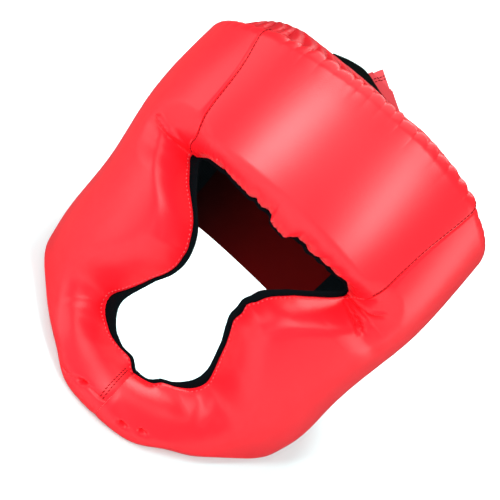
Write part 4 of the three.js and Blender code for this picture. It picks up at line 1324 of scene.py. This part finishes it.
# %% [markdown]
# ## The lamps
# Two tall soft lamps in front are what the upright bands on the forehead reflect. On the curved cheeks
# they would draw thin bright lines that a real soft room doesn't, so the side pads get their light without
# their reflection, and one lamp of their own. Lamps at the sides and behind give the edges a sheen, and
# one above the back throws the shadow forward. Lists say which pieces a lamp lights. Two small ones light
# the floor inside the guard.

# %% Set the lamps
LAMP_AIM = Vector((0, 0, 0.1))
# azimuth and elevation in degrees, distance, width and height in metres, power in watts
FOREHEAD_LAMPS = {
    "left_lamp": (-26, 34, 1.5, 0.26, 1.0, 14),
    "right_lamp": (38, 36, 1.5, 0.2, 1.0, 10.5),
}
INSIDE_LAMPS = {"inside_lamp": (0, 0.06, 0.16), "behind_lamp": (0, 0.25, 0.15)}
INSIDE_SIZE, INSIDE_POWER = 0.1, 0.6


def add_lamp(name, place, width, height, power, only=None):
    data = bpy.data.lights.new(name, "AREA")
    data.shape = "RECTANGLE"
    data.size, data.size_y, data.energy = width, height, power
    light = placed(name, data)
    light.location = place
    light.light_linking.receiver_collection = only
    return light


def lamp(name, azimuth, elevation, distance, *size_and_power, shines=True, lights=True, only=None):
    """A lamp that looks at the guard; shines is for its reflection and lights for the rest of its light."""
    turn, lift = math.radians(azimuth), math.radians(elevation)
    way = Vector((math.sin(turn) * math.cos(lift), -math.cos(turn) * math.cos(lift), math.sin(lift)))
    light = add_lamp(name, LAMP_AIM + way * distance, *size_and_power, only)
    light.visible_glossy, light.visible_diffuse = shines, lights
    light.rotation_euler = way.to_track_quat("Z", "Y").to_euler()


def light_list(name, pieces, state):
    """What a lamp lights: these pieces alone, or all but these."""
    listed = bpy.data.collections.new(name)
    for place, piece in enumerate(pieces):
        listed.objects.link(piece)
        listed.collection_objects[place].light_linking.link_state = state
    return listed


lit_floor = light_list("lit_floor", [floor], "INCLUDE")
only_sides = light_list("only_side_pads", side_pads.values(), "INCLUDE")
all_but_sides = light_list("all_but_side_pads", side_pads.values(), "EXCLUDE")
all_but_right = light_list("all_but_right_pad", [side_pads["side_pad_right"]], "EXCLUDE")
for name, setting in FOREHEAD_LAMPS.items():
    lamp(name, *setting, only=all_but_sides)
    lamp(name + "_soft", *setting, shines=False, only=only_sides)
lamp("top_lamp", -140, 75, 1.6, 1.6, 1.6, 11)
lamp("pad_lamp", -30, 66, 1.5, 0.9, 0.9, 6, only=only_sides)
lamp("front_lamp", -15, 6, 2.0, 1.6, 0.8, 5, shines=False)
lamp("back_lamp", 180, 42, 1.6, 1.6, 0.5, 13, lights=False, only=all_but_right)
lamp("left_rim_lamp", -84, 10, 1.5, 0.8, 1.3, 5)
lamp("right_rim_lamp", 107, 3, 1.5, 0.6, 1.0, 4.5)
lamp("shadow_lamp", 185, 66, 2.0, 0.5, 0.5, 34, only=lit_floor)
for name, place in INSIDE_LAMPS.items():
    add_lamp(name, place, INSIDE_SIZE, INSIDE_SIZE, INSIDE_POWER, lit_floor).visible_camera = False
print("lamps:", len(bpy.data.lights))

# %% [markdown]
# ## Handing over
# ## Tying the pieces on
# Every piece and every row of stitches is tied to the guard's root body, and each solid that a piece
# stands in for is hidden.

# %% Tie the pieces to the solids
pieces = {
    **side_pads,
    **side_linings,
    "forehead_pad": forehead_pad,
    "forehead_lining": forehead_lining,
    "crown_hem": crown_hem,
    "back_panel": back_panel,
    "loop_band": loop_band,
    "crown_strap": crown_strap,
}
for node, piece in pieces.items():
    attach(piece, "root")
    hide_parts(node)
for piece in stitches:
    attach(piece, "root")
print("pieces:", len(pieces), "and", len(stitches), "rows of stitches")
